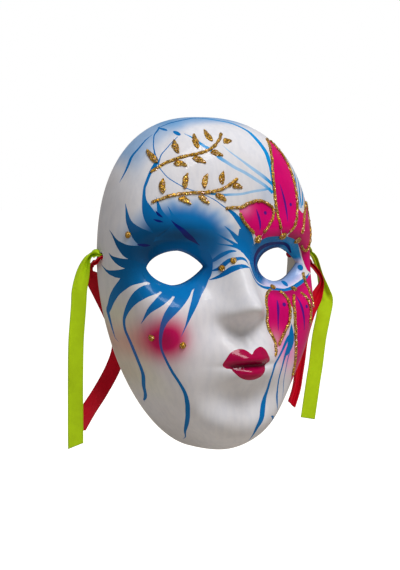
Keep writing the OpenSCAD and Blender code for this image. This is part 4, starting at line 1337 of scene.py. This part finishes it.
def knot(name, side, level, turn, material, slot):
    """An overhand knot pulled tight against the inside of the wall."""
    sizes = bpy.context.scene.mask_ribbons
    shell = bpy.context.scene.mask_shell
    radius = sizes.knot / MM / 2
    t = np.linspace(0, 2 * math.pi, KNOT_STEPS, endpoint=False)
    wide = (radius - 1.5) / 3
    path = np.stack([1.9 * wide * np.sin(3 * t) * 0.9, wide * (np.sin(t) + 2 * np.sin(2 * t)),
                     wide * (np.cos(t) - 2 * np.cos(2 * t))], -1)
    spin = np.array(Matrix.Rotation(turn, 3, "X"))
    path = path @ spin.T
    way = np.roll(path, -1, axis=0) - np.roll(path, 1, axis=0)
    way /= np.linalg.norm(way, axis=1, keepdims=True)
    out = path / np.linalg.norm(path, axis=1, keepdims=True)
    side_way = np.cross(way, out)
    side_way /= np.linalg.norm(side_way, axis=1, keepdims=True)
    up = np.cross(side_way, way)
    ring = np.linspace(0, 2 * math.pi, 17)[:-1]
    apart = level * (radius + TIE_GAP / 2)
    centre = np.array([side * (shell.half_width / MM - TIE_GAP - shell.wall / MM - radius),
                       -shell.hole_inset / MM + apart * math.sin(PAIR_TURN),
                       shell.hole_up / MM + apart * math.cos(PAIR_TURN)])
    folds = 1 + 0.10 * np.sin(5 * t)
    places = np.concatenate([
        centre + path[k] + folds[k] * KNOT_STRAND * (
            np.outer(np.cos(ring), side_way[k]) + 0.75 * np.outer(np.sin(ring), up[k]))
        * (1 + 0.08 * np.sin(6 * ring + t[k]))[:, None]
        for k in range(len(t))])
    n, m = len(t), len(ring)
    i = np.arange(n)[:, None] * m + np.arange(m)
    j = np.roll(i, -1, axis=0)
    faces = np.stack([i, np.roll(i, -1, axis=1), np.roll(j, -1, axis=1), j], -1).reshape(-1, 4)
    piece = add_mesh(name + "_satin", places, faces)
    uv = piece.data.uv_layers.new(name="UVMap")
    spread = np.stack([(np.arange(n * m) % m) / m * sizes.width, np.arange(n * m) // m * 0.0004], -1)
    uv.data.foreach_set("uv", spread[faces.reshape(-1)].reshape(-1))
    face_out(piece)
    piece.data.materials.append(material)
    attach(piece, "mask")
    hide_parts(name)
    return piece


# ---------------------------------------------------------------- operators


class MASK_OT_shell(bpy.types.Operator):
    """Cast shell with eye holes, tie holes and its painted glaze"""

    bl_idname = "mask.shell"
    bl_label = "Shell"

    def execute(self, context):
        shell = build_shell()
        shell.data.materials.append(glaze_finish())
        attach(shell, "mask")
        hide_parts("mask_shell")
        return {"FINISHED"}


class MASK_OT_trim(bpy.types.Operator):
    """Gold glitter glue: sprig, petal outlines, drops and dots"""

    bl_idname = "mask.trim"
    bl_label = "Glitter trim"

    def execute(self, context):
        sizes = context.scene.mask_trim
        dot = sizes.dot / MM
        form = Form(context.scene.mask_shell)
        glue = Glue(form, sizes.line_height / MM, seed=11)
        for points in STEMS:
            glue.line(points, sizes.line_width / MM)
        for u, v, turn, long in LEAVES:
            glue.line(leaf_line(u, v, turn, long))
        material = glitter_finish()
        glue.finish("forehead_sprig", material)
        glitter_piece("brow_petal_inner", BROW_INNER)
        glitter_piece("brow_petal_middle", BROW_MIDDLE)
        glitter_piece("brow_petal_outer", BROW_OUTER)
        glitter_piece("cheek_petal_inner", CHEEK_INNER)
        glitter_piece("cheek_petal_outer", CHEEK_OUTER)
        glitter_piece("rim_petal", RIM_PETAL)
        glitter_piece("petal_drops", drops=PETAL_DROPS)
        glitter_piece("glitter_dots", drops=[(u, v, dot, dot / 3) for u, v in SINGLE_DOTS])
        return {"FINISHED"}


class MASK_OT_knots(bpy.types.Operator):
    """The four knots that hold the ribbons inside the wall"""

    bl_idname = "mask.knots"
    bl_label = "Knots"

    def execute(self, context):
        sizes = context.scene.mask_ribbons
        lime = satin_finish("lime satin", tuple(sizes.lime))
        red = satin_finish("red satin", tuple(sizes.red))
        for number, (word, side) in enumerate(HINGE_SIDE.items()):
            knot(word + "_lime_knot", side, 1, 0.7 + number, lime, "lime_satin")
            knot(word + "_red_knot", side, -1, 2.1 + number, red, "red_satin")
        return {"FINISHED"}


class MASK_OT_ribbons(bpy.types.Operator):
    """The four satin ties that hang from the tie holes"""

    bl_idname = "mask.ribbons"
    bl_label = "Ribbons"

    def execute(self, context):
        lime = bpy.data.materials["lime satin"]
        red = bpy.data.materials["red satin"]
        ribbon("left_lime", -1, LEFT_LIME, 4.0, lime)
        ribbon("left_red", -1, LEFT_RED, 6.0, red)
        ribbon("right_lime", 1, RIGHT_LIME, 0.0, lime)
        ribbon("right_red", 1, RIGHT_RED, -3.0, red)
        return {"FINISHED"}


FLOOR_SIZE = 12.0
FLOOR_COLOUR = (0.62, 0.57, 0.5)
FLOOR_GLOW = 0.94
FILM_HEIGHT = 36.0  # mm
LAMP_DISTANCE = 1.5
AIM_RIGHT, AIM_DOWN = 0.0020, 0.01868  # where the camera looks, from the frame's origin


class MASK_OT_stage(bpy.types.Operator):
    """Pale floor, soft lamps and the camera"""

    bl_idname = "mask.stage"
    bl_label = "Stage"

    def execute(self, context):
        s = context.scene.mask_stage
        lo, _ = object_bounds()
        bpy.ops.object.select_all(action="DESELECT")
        bpy.ops.mesh.primitive_plane_add(size=FLOOR_SIZE, location=(0.0, 0.0, lo.z - s.floor_drop))
        floor = context.object
        floor.name = "floor"
        f = Finish("floor")
        seen = f.node("ShaderNodeLightPath", {}, out="Is Camera Ray")
        floor.data.materials.append(f.set(Base_Color=FLOOR_COLOUR, Roughness=0.9,
                                          Emission_Color=seen, Emission_Strength=FLOOR_GLOW,
                                          Specular_IOR_Level=0.0))
        floor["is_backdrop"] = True

        a, e = s.azimuth, s.elevation
        back = Vector((math.sin(a) * math.cos(e), -math.cos(a) * math.cos(e), math.sin(e)))
        right = Vector((math.cos(a), math.sin(a), 0.0))
        up = back.cross(right)
        aim = right * AIM_RIGHT - up * AIM_DOWN
        bpy.ops.object.camera_add(location=aim + back * s.distance)
        camera = context.object
        camera.rotation_euler = Matrix((right, up, back)).transposed().to_euler()
        camera.data.sensor_fit = "VERTICAL"
        camera.data.sensor_height = FILM_HEIGHT
        camera.data.lens = FILM_HEIGHT * s.distance / s.view_height
        camera.data.clip_start = 0.05
        context.scene.camera = camera

        for name, power, size, way in (
                ("key", s.key, 0.7, right * 0.55 + up * 1.15 + back * 0.65),
                ("fill", s.fill, 1.0, right * -1.2 + up * 0.6 + back * 0.7)):
            way = way.normalized() * LAMP_DISTANCE
            bpy.ops.object.light_add(type="AREA", location=way)
            lamp = context.object
            lamp.name = name + " lamp"
            lamp.rotation_euler = way.to_track_quat("Z", "Y").to_euler()
            lamp.data.energy = power
            lamp.data.size = size

        world = bpy.data.worlds.new("white room")
        context.scene.world = world
        world.use_nodes = True
        tree = world.node_tree
        tree.nodes.clear()
        path = tree.nodes.new("ShaderNodeLightPath")
        most = tree.nodes.new("ShaderNodeMath")
        most.operation = "MAXIMUM"
        tree.links.new(path.outputs["Is Camera Ray"], most.inputs[0])
        tree.links.new(path.outputs["Is Transmission Ray"], most.inputs[1])
        sky = tree.nodes.new("ShaderNodeBackground")
        sky.inputs["Strength"].default_value = s.sky
        white = tree.nodes.new("ShaderNodeBackground")
        choose = tree.nodes.new("ShaderNodeMixShader")
        out = tree.nodes.new("ShaderNodeOutputWorld")
        for node in (sky, white):
            node.inputs["Color"].default_value = (1.0, 1.0, 1.0, 1.0)
        tree.links.new(most.outputs[0], choose.inputs[0])
        tree.links.new(sky.outputs[0], choose.inputs[1])
        tree.links.new(white.outputs[0], choose.inputs[2])
        tree.links.new(choose.outputs[0], out.inputs[0])
        context.scene.view_settings.view_transform = "Standard"
        return {"FINISHED"}


STEPS = (MASK_OT_shell, MASK_OT_trim, MASK_OT_knots, MASK_OT_ribbons, MASK_OT_stage)
GROUPS = {"mask_shell": ShellSizes, "mask_paint": PaintColours, "mask_trim": TrimSizes,
          "mask_ribbons": RibbonSizes, "mask_stage": StageSettings}


class MASK_PT_build(bpy.types.Panel):
    """Lists the building steps and their settings"""

    bl_idname = "MASK_PT_build"
    bl_label = "Mask"
    bl_space_type = "VIEW_3D"
    bl_region_type = "UI"
    bl_category = "Mask"

    def draw(self, context):
        for step in STEPS:
            self.layout.operator(step.bl_idname)
        for name, group in GROUPS.items():
            box = self.layout.box()
            for setting in group.__annotations__:
                box.prop(getattr(context.scene, name), setting)


def register():
    for item in tuple(GROUPS.values()) + STEPS + (MASK_PT_build,):
        bpy.utils.register_class(item)
    for name, group in GROUPS.items():
        setattr(bpy.types.Scene, name, bpy.props.PointerProperty(type=group))


def unregister():
    for name in GROUPS:
        delattr(bpy.types.Scene, name)
    for item in reversed(tuple(GROUPS.values()) + STEPS + (MASK_PT_build,)):
        bpy.utils.unregister_class(item)


def main():
    register()
    for step in STEPS:
        group, name = step.bl_idname.split(".")
        if getattr(getattr(bpy.ops, group), name)() != {"FINISHED"}:
            raise RuntimeError(step.bl_label + " wasn't built")


if __name__ == "__main__":
    main()
